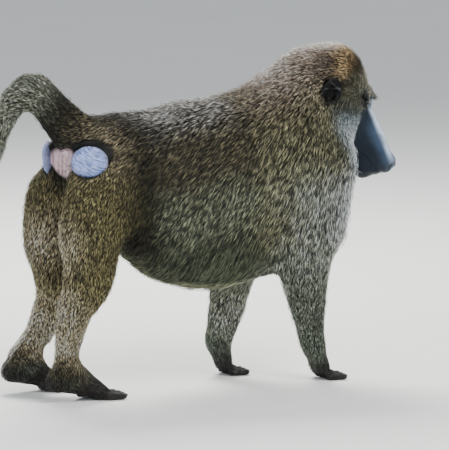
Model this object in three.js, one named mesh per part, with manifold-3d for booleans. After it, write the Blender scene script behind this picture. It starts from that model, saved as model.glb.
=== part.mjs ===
// A full-grown male olive baboon, life size, in a slow walk: the right fore foot is ahead of the left, the
// hind feet are nearly level, and the tail rises, breaks over and hangs.
// Every solid reaches the tips of the coat. The body is one smooth field of limbs, ovals and lofts, which is
// meshed region by region and parted by flat cuts.
// Millimetres: +X forward, +Y the animal's left, +Z up, and the floor is z = 0.

import * as THREE from "three";
import { mergeVertices } from "three/addons/utils/BufferGeometryUtils.js";
import Module from "manifold-3d";

const wasm = await Module();
wasm.setup();

// ---------------------------------------------------------------- driving dimensions

const GAP = 0.4; // left between neighbouring pieces
const TRUNK_STEP = 61.4; // between the lines of the trunk's net
const NET_PROBE = 0.05; // of a net's step: how far off the field is read for its slope
const NET_RIM = 1 / 12; // of a net's step: how near to its cell's wall a point may come
const LEAST_STEEPNESS = 0.1; // below this slope squared, a point isn't drawn any farther
const SINK = 3; // how far soles and finger pads press past the floor before they are cut flat

const HEAD_AT = [340, 0, 648]; // midway between the ear holes
const HEAD_TURN = -14; // degrees about +Z: the head looks a little to the animal's right
const MUZZLE_ROOT = [105, 0, -40]; // in the head's frame, the dip below the brow
const MUZZLE_DROP = 62; // degrees that the bridge of the nose slopes down
const EYE = { at: [88, 23, -33], radius: 11.5, orbit: [24, 17, 12] }; // in the head's frame, mirrored across y = 0
// An ear, in the head's frame: its top leans forward and its rear edge flares out, in degrees.
const EAR = { at: [-1, 82, 4], lean: 27, flare: 8, radii: [22, 9, 30], bowl: [16, 8, 23], bowlAt: [2, 10, -2] };
const PELVIS_AT = [-217, 10, 527];
const PELVIS_TURN = 16; // the left hip is carried back, the right one forward
// A seat pad, in the pelvis's frame: `turn` is how many degrees it faces away from straight back.
const PAD = { at: [-97, 68, 2], radii: [12, 43, 38], recess: [22, 46, 41], turn: 45 };

// Sections along +X: [x, back, belly, half width].
const TORSO = [
  [-262, 575, 480, 50],
  [-200, 616, 345, 92],
  [-127, 631, 268, 112],
  [-64, 637, 236, 124],
  [38, 642, 212, 138],
  [120, 652, 222, 148],
  [188, 672, 242, 152],
  [255, 692, 258, 147],
  [306, 645, 276, 130],
  [338, 560, 298, 108],
  [360, 470, 340, 70],
];
// Sections along the bridge of the nose: [distance, bridge, underside, half width].
const MUZZLE = [
  [-34, -6, -80, 40],
  [0, 0, -98, 38],
  [50, 1, -104, 35],
  [98, 0, -102, 35],
  [122, -1, -94, 33],
  [140, -4, -74, 28],
  [155, -14, -40, 16],
];

// Joints as [x, y, z, radius]. `bend` bends a limb out at its joints, and `wide` is its width over its depth.
const ARMS = {
  right: {
    upper: [[300, -72, 490, 84], [262, -84, 370, 72], [243, -88, 285, 58]],
    lower: [[243, -88, 285, 57], [249, -88, 218, 52], [262, -84, 140, 39], [270, -80, 88, 31]],
    wrist: [270, -80, 82],
    knuckles: [294, -80, 25],
  },
  left: {
    upper: [[288, 72, 490, 84], [222, 84, 372, 72], [176, 88, 288, 58]],
    lower: [[176, 88, 288, 56], [155, 87, 221, 50], [131, 82, 130, 41], [113, 78, 84, 34]],
    wrist: [111, 78, 80],
    knuckles: [128, 78, 25],
  },
};
const LEGS = {
  right: {
    upper: [[-258, -72, 442, 84], [-288, -82, 370, 76], [-292, -90, 306, 62], [-296, -93, 262, 48]],
    lower: [[-299, -93, 262, 46], [-334, -91, 203, 44], [-346, -86, 142, 36], [-352, -80, 90, 26]],
    ankle: [-352, -80, 80],
    heel: [-378, -79, 44],
    ball: [-270, -82, 20],
  },
  left: {
    upper: [[-282, 72, 446, 84], [-299, 84, 385, 74], [-303, 90, 325, 66], [-286, 94, 264, 47]],
    lower: [[-284, 94, 264, 46], [-293, 92, 212, 42], [-331, 86, 134, 36], [-378, 79, 92, 27]],
    ankle: [-384, 79, 80],
    heel: [-412, 79, 46],
    ball: [-304, 81, 20],
  },
};
const TAIL = [
  [-225, 0, 546, 58], [-284, 1, 572, 53], [-342, 2, 646, 41], [-387, 3, 692, 40], [-431, 4, 672, 31],
  [-461, 5, 610, 23], [-486, 6, 541, 21], [-502, 7, 474, 19], [-516, 8, 410, 17], [-525, 9, 352, 14],
];
const FINGER = { length: 56, radius: 9, spread: 17, fan: 5 };
const TOE = { length: 60, radius: 9.5, spread: 16.5, fan: 4 };

// ---------------------------------------------------------------- fields: signed distance at (x, y, z)

const { lerp, clamp, degToRad } = THREE.MathUtils;

/** A rounded limb through joints; `wide` stretches its section sideways. */
const limb = (joints, wide = 1) => (x, y, z) => {
  let nearest = Infinity;
  for (let i = 1; i < joints.length; i++) {
    const [ax, ay, az, ar] = joints[i - 1];
    const [bx, by, bz, br] = joints[i];
    const [dx, dy, dz] = [bx - ax, by - ay, bz - az];
    const along = ((x - ax) * dx + (y - ay) * dy + (z - az) * dz) / (dx * dx + dy * dy + dz * dz);
    const t = clamp(along, 0, 1);
    const away = Math.hypot(x - lerp(ax, bx, t), (y - lerp(ay, by, t)) / wide, z - lerp(az, bz, t));
    nearest = Math.min(nearest, away - lerp(ar, br, t));
  }
  return nearest;
};

/** An oval of three radii about its centre. */
const oval = ([cx, cy, cz], [rx, ry, rz]) => (x, y, z) => {
  const [u, v, w] = [(x - cx) / rx, (y - cy) / ry, (z - cz) / rz];
  const scale = Math.hypot(u / rx, v / ry, w / rz);
  const share = Math.hypot(u, v, w);
  return scale === 0 ? -Math.min(rx, ry, rz) : (share * (share - 1)) / scale;
};

/** The section of a loft at x, on a smooth curve through its stations. */
function sectionAt(stations, x) {
  const last = stations.length - 1;
  const found = stations.findIndex(([at]) => at > x);
  const i = found < 0 ? last - 1 : Math.max(found - 1, 0);
  const [before, from, to, after] = [i - 1, i, i + 1, i + 2].map((n) => stations[clamp(n, 0, last)]);
  const t = clamp((x - from[0]) / (to[0] - from[0]), 0, 1);
  return [1, 2, 3].map((k) => {
    const leave = ((to[k] - before[k]) / (to[0] - before[0])) * (to[0] - from[0]);
    const arrive = ((after[k] - from[k]) / (after[0] - from[0])) * (to[0] - from[0]);
    const [t2, t3] = [t * t, t * t * t];
    return (2 * t3 - 3 * t2 + 1) * from[k] + (t3 - 2 * t2 + t) * leave + (3 * t2 - 2 * t3) * to[k]
      + (t3 - t2) * arrive;
  });
}

/** A loft along +X; `square` is the power of its section, and `keel` narrows its underside. */
const loft = (stations, square = 2, keel = 0) => (x, y, z) => {
  const [top, bottom, half] = sectionAt(stations, x);
  const middle = (top + bottom) / 2;
  const deep = (top - bottom) / 2;
  const low = clamp((middle - z) / deep, 0, 1);
  const out = (Math.abs(y / (half * (1 - keel * low))) ** square + Math.abs((z - middle) / deep) ** square)
    ** (1 / square);
  const side = (out - 1) * Math.min(half, deep);
  const past = Math.max(stations[0][0] - x, x - stations.at(-1)[0], 0);
  return past > 0 ? Math.hypot(Math.max(side, 0), past) : side;
};

/** The lesser of two distances, with a fillet `soft` wide. */
function softMin(a, b, soft) {
  const near = Math.max(soft - Math.abs(a - b), 0);
  return Math.min(a, b) - (near * near) / (4 * soft);
}

const blend = (soft, ...fields) => (x, y, z) =>
  fields.reduce((all, field) => softMin(all, field(x, y, z), soft), 1e6);

const carve = (soft, field, ...hollows) => (x, y, z) =>
  hollows.reduce((all, hollow) => -softMin(-all, hollow(x, y, z), soft), field(x, y, z));

/** A field given in a turned and moved frame. */
function placed(frame, field) {
  const back = frame.clone().invert();
  const at = new THREE.Vector3();
  return (x, y, z) => {
    at.set(x, y, z).applyMatrix4(back);
    return field(at.x, at.y, at.z);
  };
}

/** A frame moved to a point and then turned about Z and Y, in degrees. */
const frameAt = (point, aboutZ = 0, aboutY = 0) =>
  new THREE.Matrix4().makeTranslation(...point)
    .multiply(new THREE.Matrix4().makeRotationZ(degToRad(aboutZ)))
    .multiply(new THREE.Matrix4().makeRotationY(degToRad(aboutY)));

const both = (make) => [make(1), make(-1)];
const mirrored = ([x, y, z], side) => [x, y * side, z];

// ---------------------------------------------------------------- the animal

const headFrame = frameAt(HEAD_AT, HEAD_TURN);
const muzzleFrame = headFrame.clone().multiply(frameAt(MUZZLE_ROOT, 0, MUZZLE_DROP));
const pelvisFrame = frameAt(PELVIS_AT, PELVIS_TURN);

/** The skull, crown, brow, cheeks and ruff, in the head's frame. */
const cranium = blend(16,
  oval([15, 0, 27], [82, 66, 80]),
  oval([-40, 0, 15], [72, 74, 83]),
  oval([99, 0, -11], [28, 44, 17]),
  ...both((side) => oval([30, 40 * side, -42], [50, 42, 62])),
  ...both((side) => oval([4, 40 * side, -84], [54, 42, 66])),
);

/** The long muzzle with its two ridges, nose and lips, in the muzzle's frame. */
const muzzle = carve(6,
  blend(8,
    loft(MUZZLE, 2.7),
    ...both((side) => limb([[-4, 15 * side, -7, 8], [40, 19 * side, -5, 9], [84, 19 * side, -9, 9]])),
    oval([138, 0, -10], [18, 19, 12]),
    oval([100, 0, -84], [34, 27, 19]),
    ...both((side) => oval([96, 25 * side, -42], [36, 12, 20])),
  ),
  ...both((side) => oval([64, 44 * side, -26], [34, 10, 12])),
);

const mane = blend(45,
  loft(TORSO, 2.25, 0.14),
  limb([[190, 0, 534, 108], [250, -2, 592, 108], [298, -5, 632, 92]], 0.82),
  oval([298, -4, 440], [66, 104, 116]),
  oval([300, 0, 350], [82, 110, 98]),
);

const pelvis = blend(26,
  oval([0, 0, 0], [104, 92, 86]),
  ...both((side) => oval([-48, 42 * side, -20], [58, 52, 58])),
  ...both((side) => oval([4, 68 * side, -62], [66, 56, 88])),
);

const arm = (side) => {
  const { upper, lower, wrist, knuckles } = ARMS[side];
  return blend(14,
    blend(30, limb(upper, 0.86), limb(lower, 0.84)),
    limb([[...wrist, 24], [...mid(wrist, knuckles), 21], [...knuckles, 17]], 1.42),
    limb([[...knuckles, 15], [knuckles[0] + 10, knuckles[1], 9.5, 10]], 1.9),
  );
};

const leg = (side) => {
  const { upper, lower, ankle, heel, ball } = LEGS[side];
  return blend(16,
    blend(34, limb(upper, 0.74), limb(lower, 0.8)),
    limb([[...ankle, 25], [...heel, 20]], 0.95),
    limb([[...ankle, 24], [...mid(ankle, ball), 23], [...ball, 15]], 1.3),
    limb([[...heel, 18], [...mid(heel, ball), 17], [...ball, 14]], 1.4),
    limb([[ball[0], ball[1], 14, 13], [ball[0] + 14, ball[1], 9.5, 11]], 2.2),
  );
};

function mid([ax, ay, az], [bx, by, bz]) {
  return [(ax + bx) / 2, (ay + by) / 2, (az + bz) / 2];
}

const body = blend(24,
  blend(44, mane, placed(pelvisFrame, pelvis)),
  blend(18, placed(headFrame, cranium), placed(muzzleFrame, muzzle)),
  arm("right"),
  arm("left"),
  leg("right"),
  leg("left"),
  limb(TAIL),
);

// ---------------------------------------------------------------- meshing and cutting

const toVector = (point) => new THREE.Vector3(...point);

/** A closed net of quads over the part of a field's surface that lies in a box, `step` between its lines. */
function netOf(field, box, step) {
  const low = box.min.clone().subScalar(1.5 * step);
  const count = box.max.clone().sub(low).divideScalar(step).ceil().addScalar(2);
  const [nx, ny, nz] = [count.x, count.y, count.z];
  const value = new Float32Array(nx * ny * nz);
  const at = (i, j, k) => i + nx * (j + ny * k);
  for (let k = 0; k < nz; k++)
    for (let j = 0; j < ny; j++)
      for (let i = 0; i < nx; i++) {
        const rim = i === 0 || j === 0 || k === 0 || i === nx - 1 || j === ny - 1 || k === nz - 1;
        value[at(i, j, k)] = rim ? step : field(low.x + i * step, low.y + j * step, low.z + k * step);
      }
  const vertexOf = new Int32Array(nx * ny * nz).fill(-1);
  const points = [];
  for (let k = 0; k < nz - 1; k++)
    for (let j = 0; j < ny - 1; j++)
      for (let i = 0; i < nx - 1; i++) {
        const point = cellPoint(value, at, i, j, k);
        if (!point) continue;
        vertexOf[at(i, j, k)] = points.length / 3;
        const cell = [low.x + i * step, low.y + j * step, low.z + k * step];
        const start = point.map((share, axis) => cell[axis] + (share - [i, j, k][axis]) * step);
        points.push(...drawnIn(field, start, cell, step));
      }
  const faces = [];
  const axes = [[1, 0, 0], [0, 1, 0], [0, 0, 1]];
  for (let k = 0; k < nz - 1; k++)
    for (let j = 0; j < ny - 1; j++)
      for (let i = 0; i < nx - 1; i++)
        axes.forEach(([dx, dy, dz], axis) => {
          const here = value[at(i, j, k)];
          if (here < 0 === value[at(i + dx, j + dy, k + dz)] < 0) return;
          const [u, v] = [axes[(axis + 1) % 3], axes[(axis + 2) % 3]];
          const corner = (a, b) => vertexOf[at(
            i - a * u[0] - b * v[0], j - a * u[1] - b * v[1], k - a * u[2] - b * v[2])];
          const ring = [corner(1, 1), corner(0, 1), corner(0, 0), corner(1, 0)];
          addQuad(faces, points, here < 0 ? ring : ring.reverse());
        });
  return new THREE.BufferGeometry()
    .setAttribute("position", new THREE.Float32BufferAttribute(points, 3))
    .setIndex(faces);
}

/** The mean of the places where a cell's edges cross the surface, in grid units, or nothing. */
function cellPoint(value, at, i, j, k) {
  let crossings = 0;
  const sum = [0, 0, 0];
  for (let a = 0; a < 8; a++)
    for (let bit = 1; bit < 8; bit *= 2) {
      const b = a | bit;
      if (b === a) continue;
      const [va, vb] = [a, b].map((n) => value[at(i + (n & 1), j + ((n >> 1) & 1), k + (n >> 2))]);
      if (va < 0 === vb < 0) continue;
      const t = va / (va - vb);
      sum[0] += i + (a & 1) + (bit === 1 ? t : 0);
      sum[1] += j + ((a >> 1) & 1) + (bit === 2 ? t : 0);
      sum[2] += k + (a >> 2) + (bit === 4 ? t : 0);
      crossings++;
    }
  return crossings ? sum.map((s) => s / crossings) : null;
}

/** A point drawn onto a field's surface along its slope, kept a little inside its own cell. */
function drawnIn(field, point, cell, step) {
  const probe = step * NET_PROBE;
  const rim = step * NET_RIM;
  let drawn = point;
  for (let round = 0; round < 2; round++) {
    const here = field(...drawn);
    const slope = [0, 1, 2].map((axis) => {
      const beside = [...drawn];
      beside[axis] += probe;
      return (field(...beside) - here) / probe;
    });
    const steep = Math.max(Math.hypot(...slope) ** 2, LEAST_STEEPNESS);
    drawn = drawn.map((at, axis) => {
      const moved = at - (here * slope[axis]) / steep;
      return clamp(moved, cell[axis] + rim, cell[axis] + step - rim);
    });
  }
  return drawn;
}

/** Two triangles, across the shorter diagonal. */
function addQuad(faces, points, [a, b, c, d]) {
  const apart = (m, n) => Math.hypot(...[0, 1, 2].map((axis) => points[3 * m + axis] - points[3 * n + axis]));
  if (apart(a, c) <= apart(b, d)) faces.push(a, b, c, a, c, d);
  else faces.push(b, c, d, b, d, a);
}

/** A closed geometry as a solid that can be joined and cut. */
function solidOf(geometry) {
  const bare = geometry.clone();
  ["normal", "uv"].forEach((name) => bare.deleteAttribute(name));
  const merged = mergeVertices(bare, 1e-4);
  return new wasm.Manifold(new wasm.Mesh({
    numProp: 3,
    vertProperties: merged.attributes.position.array,
    triVerts: new Uint32Array(merged.index.array),
  }));
}

function geometryOf(solid) {
  const { numProp, vertProperties, triVerts, numVert } = solid.getMesh();
  const points = new Float32Array(numVert * 3);
  for (let i = 0; i < numVert; i++) points.set(vertProperties.subarray(i * numProp, i * numProp + 3), i * 3);
  const geometry = new THREE.BufferGeometry()
    .setAttribute("position", new THREE.BufferAttribute(points, 3))
    .setIndex(new THREE.BufferAttribute(triVerts, 1));
  geometry.computeVertexNormals();
  return geometry;
}

/** A square bar that starts on a cut plane at `from` and runs towards `to`. */
function barGeometry({ from, to, reach, wide, tall = wide }, grow = 0) {
  const along = toVector(to).sub(toVector(from)).normalize();
  const across = new THREE.Vector3(0, 1, 0).cross(along).normalize();
  const side = along.clone().cross(across).negate();
  const bar = new THREE.BoxGeometry(reach + 2 * grow, wide + 2 * grow, tall + 2 * grow);
  const frame = new THREE.Matrix4().makeBasis(along, side.negate(), across.negate());
  if (frame.determinant() < 0) frame.makeBasis(along, side, across);
  return bar.translate(reach / 2, 0, 0).applyMatrix4(frame.setPosition(...from));
}

const box3Of = (geometry) => {
  geometry.computeBoundingBox();
  return geometry.boundingBox;
};

const FLOOR = new THREE.BoxGeometry(1400, 600, 200).translate(0, 0, -100);
const BODY_BOX = new THREE.Box3(toVector([-560, -190, -12]), toVector([560, 190, 790]));

/** One digit as a closed, tapering capsule that lies from `root` towards `tip`, cut by the floor later. */
function digit(root, tip, radius) {
  const length = toVector(tip).distanceTo(toVector(root));
  const profile = [[0, 0], [0.9, 0.04], [1, 0.3], [0.9, 0.84], [0.5, 0.97], [0, 1]]
    .map(([wide, along]) => new THREE.Vector2(wide * radius, along * length));
  const turn = new THREE.Quaternion().setFromUnitVectors(
    new THREE.Vector3(0, 1, 0), toVector(tip).sub(toVector(root)).normalize());
  return solidOf(new THREE.LatheGeometry(profile, 6).applyQuaternion(turn).translate(...root));
}

/** Four digits fanned out ahead of a knuckle line, with their pads pressed into the floor. */
function digits([x, y], { length, radius, spread, fan }) {
  return [-1.5, -0.5, 0.5, 1.5].map((n) => {
    const reach = length * (1 - 0.06 * Math.abs(n - 0.3));
    return digit([x, y + n * spread, radius - SINK + 3.5], [x + reach, y + n * (spread + fan), radius - SINK],
      radius);
  });
}

const inward = (side) => (side === "right" ? 1 : -1);

const hand = (side) => {
  const { wrist: [wx, wy, wz], knuckles: [kx, ky] } = ARMS[side];
  const thumb = digit([wx + 6, wy + 20 * inward(side), wz - 34], [wx + 26, wy + 38 * inward(side), 10], 9);
  return [...digits([kx, ky], FINGER), thumb];
};

const foot = (side) => {
  const { ball: [bx, by] } = LEGS[side];
  const big = digit([bx - 44, by + 16 * inward(side), 15], [bx + 6, by + 52 * inward(side), 8], 11);
  return [...digits([bx + 4, by], TOE), big];
};

/** Where each piece starts and how far it reaches. A piece takes what it shares with those after it. */
function regions() {
  const limbs = ["right", "left"].flatMap((side) => {
    const { upper, lower, wrist, knuckles } = ARMS[side];
    const { upper: thigh, lower: shank, ankle, ball } = LEGS[side];
    const out = -inward(side);
    const elbow = lower[0].slice(0, 3);
    const knee = shank[0].slice(0, 3);
    const shoulder = [upper[0][0] - 34, out * 112, 436];
    const hip = [thigh[0][0] - 8, out * 100, 470];
    return [
      { name: `hand_${side}`, step: 24, from: wrist, to: [wrist[0] + 12, wrist[1], 0], reach: 96, wide: 120,
        tall: 190, coat: "bare_skin", extras: hand(side) },
      { name: `forearm_${side}`, step: 30.4, from: [elbow[0], elbow[1], 262], to: [lower[2][0], elbow[1], 0],
        reach: 230, wide: 150, coat: "limb_coat" },
      { name: `upper_arm_${side}`, step: 40.4, from: shoulder, to: [elbow[0], shoulder[1], 200], reach: 260,
        wide: 128, tall: 230, coat: "mane_coat" },
      { name: `foot_${side}`, step: 21.6, from: ankle, to: [ankle[0] + 10, ankle[1], 0], reach: 100,
        wide: 125, tall: 260, coat: "bare_skin", extras: foot(side) },
      { name: `shank_${side}`, step: 29.8, from: [knee[0], knee[1], 264], to: [ball[0] - 70, knee[1], 0],
        reach: 260, wide: 150, tall: 240, coat: "limb_coat" },
      { name: `thigh_${side}`, step: 39.6, from: hip, to: [knee[0], knee[1] * 1.05, 240], reach: 300,
        wide: 170, tall: 206, coat: "rump_coat" },
    ];
  });
  const lengths = [
    ["tail_tip", 7, 16],
    ["tail_drop", 5, 21.4],
    ["tail_bend", 3, 25.4],
    ["tail_base", 1, 33.4],
  ];
  const tail = lengths.map(([name, joint, step]) => ({
    name, step, from: TAIL[joint].slice(0, 3), to: TAIL[joint + 1].slice(0, 3), reach: 214, wide: 150,
    coat: "tail_coat",
  }));
  const head = (point) => toVector(point).applyMatrix4(headFrame).toArray();
  const nose = (point) => toVector(point).applyMatrix4(muzzleFrame).toArray();
  return [
    ...tail,
    { name: "jaw", step: 17.8, from: nose([24, 0, -98]), to: nose([150, 0, -69]), reach: 150, wide: 86,
      tall: 52, coat: "bare_skin" },
    { name: "muzzle", step: 16.4, from: nose([6, 0, -50]), to: nose([100, 0, -50]), reach: 160, wide: 100,
      tall: 128, coat: "bare_skin" },
    { name: "head", step: 26, from: head([-25, 0, 15]), to: head([55, 0, -45]), reach: 260, wide: 260,
      tall: 256, coat: "head_coat" },
    { name: "neck", step: 36.6, from: [238, 0, 610], to: [318, -4, 662], reach: 260, wide: 340, tall: 300,
      coat: "mane_coat" },
    ...limbs,
  ];
}

/** The seat pads, eyes and ears: separate solids, each with the pocket that it sits in. */
function insets() {
  return [["left", 1], ["right", -1]].flatMap(([side, sign]) => {
    const padFrame = pelvisFrame.clone()
      .multiply(frameAt(mirrored(PAD.at, sign), -PAD.turn * sign));
    const pad = (grow) => ovalSolid(PAD.radii, grow, padFrame, 12, 8);
    const recessFrame = padFrame.clone().multiply(frameAt([-PAD.recess[0], 0, 0]));
    const recess = ovalSolid(PAD.recess, 0, recessFrame, 12, 8);
    const eyeFrame = headFrame.clone().multiply(frameAt(mirrored(EYE.at, sign), 12 * sign, 6));
    const eye = (grow) => ovalSolid([EYE.radius, EYE.radius, EYE.radius], grow, eyeFrame, 8, 6);
    const orbitFrame = eyeFrame.clone().multiply(frameAt([EYE.orbit[0], 2 * sign, 0]));
    const orbit = ovalSolid(EYE.orbit, 0, orbitFrame, 8, 6);
    const earFrame = headFrame.clone()
      .multiply(frameAt(mirrored(EAR.at, sign), -EAR.flare * sign, EAR.lean));
    const ear = (grow) => ovalSolid(EAR.radii, grow, earFrame, 10, 7);
    const bowlFrame = earFrame.clone().multiply(frameAt(mirrored(EAR.bowlAt, sign)));
    const bowl = ovalSolid(EAR.bowl, 0, bowlFrame, 8, 6);
    return [
      { name: `seat_pad_${side}`, solid: pad(0), pocket: pad(GAP).add(recess), coat: "seat_pad" },
      { name: `eye_${side}`, solid: eye(0), pocket: eye(GAP).add(orbit), coat: "eye" },
      { name: `ear_${side}`, solid: ear(0).subtract(bowl), pocket: ear(GAP), coat: "bare_skin" },
    ];
  });
}

function ovalSolid(radii, grow, frame, around, rings) {
  const [rx, ry, rz] = radii.map((r) => r + grow);
  return solidOf(new THREE.SphereGeometry(1, around, rings).scale(rx, ry, rz).applyMatrix4(frame));
}

const COATS = {
  mane_coat: new THREE.MeshStandardMaterial({ color: 0x5b5443, roughness: 0.9 }),
  rump_coat: new THREE.MeshStandardMaterial({ color: 0x6b5b3f, roughness: 0.9 }),
  head_coat: new THREE.MeshStandardMaterial({ color: 0x665a45, roughness: 0.9 }),
  limb_coat: new THREE.MeshStandardMaterial({ color: 0x4a4b46, roughness: 0.9 }),
  tail_coat: new THREE.MeshStandardMaterial({ color: 0x484a42, roughness: 0.9 }),
  bare_skin: new THREE.MeshStandardMaterial({ color: 0x23252b, roughness: 0.5 }),
  seat_pad: new THREE.MeshStandardMaterial({ color: 0x7f87a0, roughness: 0.55 }),
  eye: new THREE.MeshStandardMaterial({ color: 0x3a2211, roughness: 0.1 }),
};

function buildPart() {
  const part = new THREE.Group();
  const add = (name, solid, coat) => {
    const mesh = new THREE.Mesh(geometryOf(solid), COATS[coat]);
    mesh.name = name;
    part.add(mesh);
  };
  const floor = solidOf(FLOOR);
  const set = insets();
  const cutAway = (solid, tools) => tools.reduce((left, tool) => left.subtract(tool), solid);
  const pockets = set.map(({ pocket }) => pocket);
  const taken = [];
  for (const region of regions()) {
    const bar = barGeometry(region);
    const net = solidOf(netOf(body, box3Of(bar).intersect(BODY_BOX), region.step));
    const whole = (region.extras ?? []).reduce((all, extra) => all.add(extra), net.intersect(solidOf(bar)));
    add(region.name, cutAway(whole, [floor, ...pockets, ...taken]), region.coat);
    taken.push(solidOf(barGeometry(region, GAP)));
  }
  const trunk = solidOf(netOf(body, BODY_BOX, TRUNK_STEP));
  add("trunk", cutAway(trunk, [floor, ...pockets, ...taken]), "mane_coat");
  set.forEach(({ name, solid, coat }) => add(name, solid, coat));
  const centre = new THREE.Box3().setFromObject(part).getCenter(new THREE.Vector3());
  part.position.set(-centre.x, -centre.y, 0);
  return part;
}

export default buildPart();
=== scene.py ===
"""The looks of a life-size museum model of an adult male olive baboon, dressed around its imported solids."""

import logging
import math
from collections.abc import Callable
from dataclasses import astuple, dataclass, field
from enum import Enum
from functools import partial

import bpy
import numpy as np
from mathutils import Matrix, Vector, noise
from mathutils.bvhtree import BVHTree
from mathutils.kdtree import KDTree


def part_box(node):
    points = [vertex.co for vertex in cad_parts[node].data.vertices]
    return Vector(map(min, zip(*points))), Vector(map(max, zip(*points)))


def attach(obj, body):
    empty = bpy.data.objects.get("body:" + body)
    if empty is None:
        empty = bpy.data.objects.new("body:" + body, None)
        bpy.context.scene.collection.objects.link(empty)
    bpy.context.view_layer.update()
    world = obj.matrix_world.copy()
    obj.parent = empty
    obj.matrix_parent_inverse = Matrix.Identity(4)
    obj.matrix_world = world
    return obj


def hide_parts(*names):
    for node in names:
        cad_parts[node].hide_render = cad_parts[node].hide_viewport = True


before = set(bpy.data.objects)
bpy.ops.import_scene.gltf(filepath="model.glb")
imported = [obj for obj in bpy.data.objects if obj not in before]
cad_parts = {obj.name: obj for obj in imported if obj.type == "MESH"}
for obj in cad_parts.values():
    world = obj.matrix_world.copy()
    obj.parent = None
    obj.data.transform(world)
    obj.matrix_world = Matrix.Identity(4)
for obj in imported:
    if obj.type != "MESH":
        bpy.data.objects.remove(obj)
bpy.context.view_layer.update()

LOG = logging.getLogger("baboon")
MM = 0.001
BAKE_MAP = "OFBake"
PAD_REACH = 0.045  # how far from a seat pad's plane still counts as beside it, in metres
FAR_OFF = 9.0
Triple = tuple[float, float, float]


class Side(Enum):
    """The two sides of the body, with the sign that each has across it."""

    RIGHT = -1
    LEFT = 1

    @property
    def word(self) -> str:
        """The side's name as the solids spell it."""
        return self.name.lower()


class Tone(Enum):
    """The colours that the coat and the bare skin pass through, as linear red, green and blue."""

    CROWN = (0.3468, 0.2396, 0.1276)
    FOREHEAD = (0.0117, 0.0103, 0.0049)
    BROW = (0.1530, 0.1582, 0.1478)
    TEMPLE = (0.0475, 0.0500, 0.0363)
    CHEEK = (0.1040, 0.1400, 0.1720)
    CHIN_FUR = (0.700, 0.860, 1.000)
    FRINGE = (0.6820, 0.5500, 0.4840)
    BACK_OF_HEAD = (0.0084, 0.0076, 0.0038)
    NAPE = (0.6000, 0.4920, 0.4440)
    HUMP = (0.0477, 0.0433, 0.0289)
    BACK = (0.1595, 0.1628, 0.1628)
    LOIN = (0.0038, 0.0038, 0.0013)
    RUMP = (0.2059, 0.1825, 0.1264)
    FLANK = (0.1032, 0.1176, 0.0876)
    FLANK_LOW = (0.0486, 0.0602, 0.0397)
    BELLY = (0.1300, 0.1430, 0.0975)
    SHOULDER = (0.105, 0.107, 0.070)
    MANE_LOW = (0.2700, 0.3000, 0.2750)
    # the chest's paler hair, made whiter still by painted backlight
    CHEST = (0.600, 0.660, 0.740)
    ARM = (0.1180, 0.1380, 0.1200)
    FOREARM = (0.0960, 0.1170, 0.1000)
    THIGH = (0.100, 0.092, 0.046)
    HAUNCH = (0.068, 0.062, 0.033)
    # painted rim light: the pale rear edges of the hind legs
    HAUNCH_EDGE = (0.420, 0.370, 0.280)
    SHANK = (0.4320, 0.3720, 0.2520)
    TAIL_ROOT = (0.0063, 0.0059, 0.0029)
    TAIL = (0.1240, 0.1390, 0.1170)
    PAW = (0.022, 0.021, 0.020)
    HIDE = (0.030, 0.026, 0.020)
    # the dark skin round the eyes and on the lids, darkened further as painted shade under the brow
    FACE = (0.012, 0.014, 0.018)
    MUZZLE = (0.0078, 0.0130, 0.0221)
    # painted shade: the black of the nostril slits and of the recess above the seat pads
    BLACK = (0.004, 0.004, 0.004)
    PINK = (0.560, 0.400, 0.430)
    CONCHA = (0.002, 0.002, 0.002)
    # painted highlight: the grey on the ear's lower rim and folds
    EAR_RIM = (0.0510, 0.0570, 0.0570)
    # painted highlight: the pale blue-white streak along the muzzle's ridges
    SHEEN = (0.5800, 0.7000, 0.8800)
    # painted light: the muzzle's upper side, lighter and bluer than the dark skin below
    SLATE = (0.040, 0.064, 0.110)


@dataclass(frozen=True)
class Cut:
    """How long, deep and thick the coat is somewhere, in millimetres; `loose` is how far tips lift off it."""

    length: float
    depth: float
    width: float
    density: float = 1.0
    gather: float = 0.25
    ticking: float = 1.0
    loose: float = 0.0


class Coat(Enum):
    """The lengths of coat that an adult male carries."""

    MANE = Cut(60, 32, 1.4, 0.9, 0.55, 1.0, 7.0)
    NAPE = Cut(44, 26, 1.1, 1.35, 0.4, 1.0, 11.0)
    CROWN = Cut(30, 17, 0.8, 3.4, 0.25, 1.0, 13.0)
    FOREHEAD = Cut(22, 12, 0.75, 4.2, 0.2, 1.0, 8.0)
    BROW = Cut(30, 15, 0.9, 9.0, 0.15, 0.85, 13.0)
    PARTING = Cut(20, 5, 0.9, 9.0, 0.05, 0.7, 9.0)
    CHEEK = Cut(25, 10, 0.75, 4.0, 0.25, 0.8, 2.0)
    BACK = Cut(42, 19, 1.3, 1.0, 0.5, 1.0, 4.0)
    FLANK = Cut(50, 21, 1.35, 0.95, 0.5, 1.0, 2.0)
    BELLY = Cut(66, 22, 1.5, 0.8, 0.75, 0.6, 10.0)
    RUMP = Cut(30, 13, 1.2, 1.4, 0.35, 1.0, 2.0)
    THIGH = Cut(30, 13, 1.15, 1.45, 0.35, 1.0, 7.0)
    SHANK = Cut(22, 9, 0.95, 1.7, 0.25, 1.0, 2.0)
    ARM = Cut(38, 15, 1.2, 1.2, 0.4, 1.0, 2.0)
    FOREARM = Cut(26, 10, 1.0, 1.7, 0.3, 1.0, 2.0)
    TAIL_ROOT = Cut(30, 11, 1.1, 1.4, 0.35)
    TAIL = Cut(24, 7, 1.0, 1.7, 0.35, 1.0, 5.0)
    TAIL_TIP = Cut(22, 4.5, 1.0, 1.8, 0.3)
    PAW = Cut(11, 2.2, 0.9, 1.3, 0.1, 0.3)
    DIGIT = Cut(5, 0.8, 0.7, 1.3, 0.1, 0.2)


# ---------------------------------------------------------------- shader maths


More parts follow.
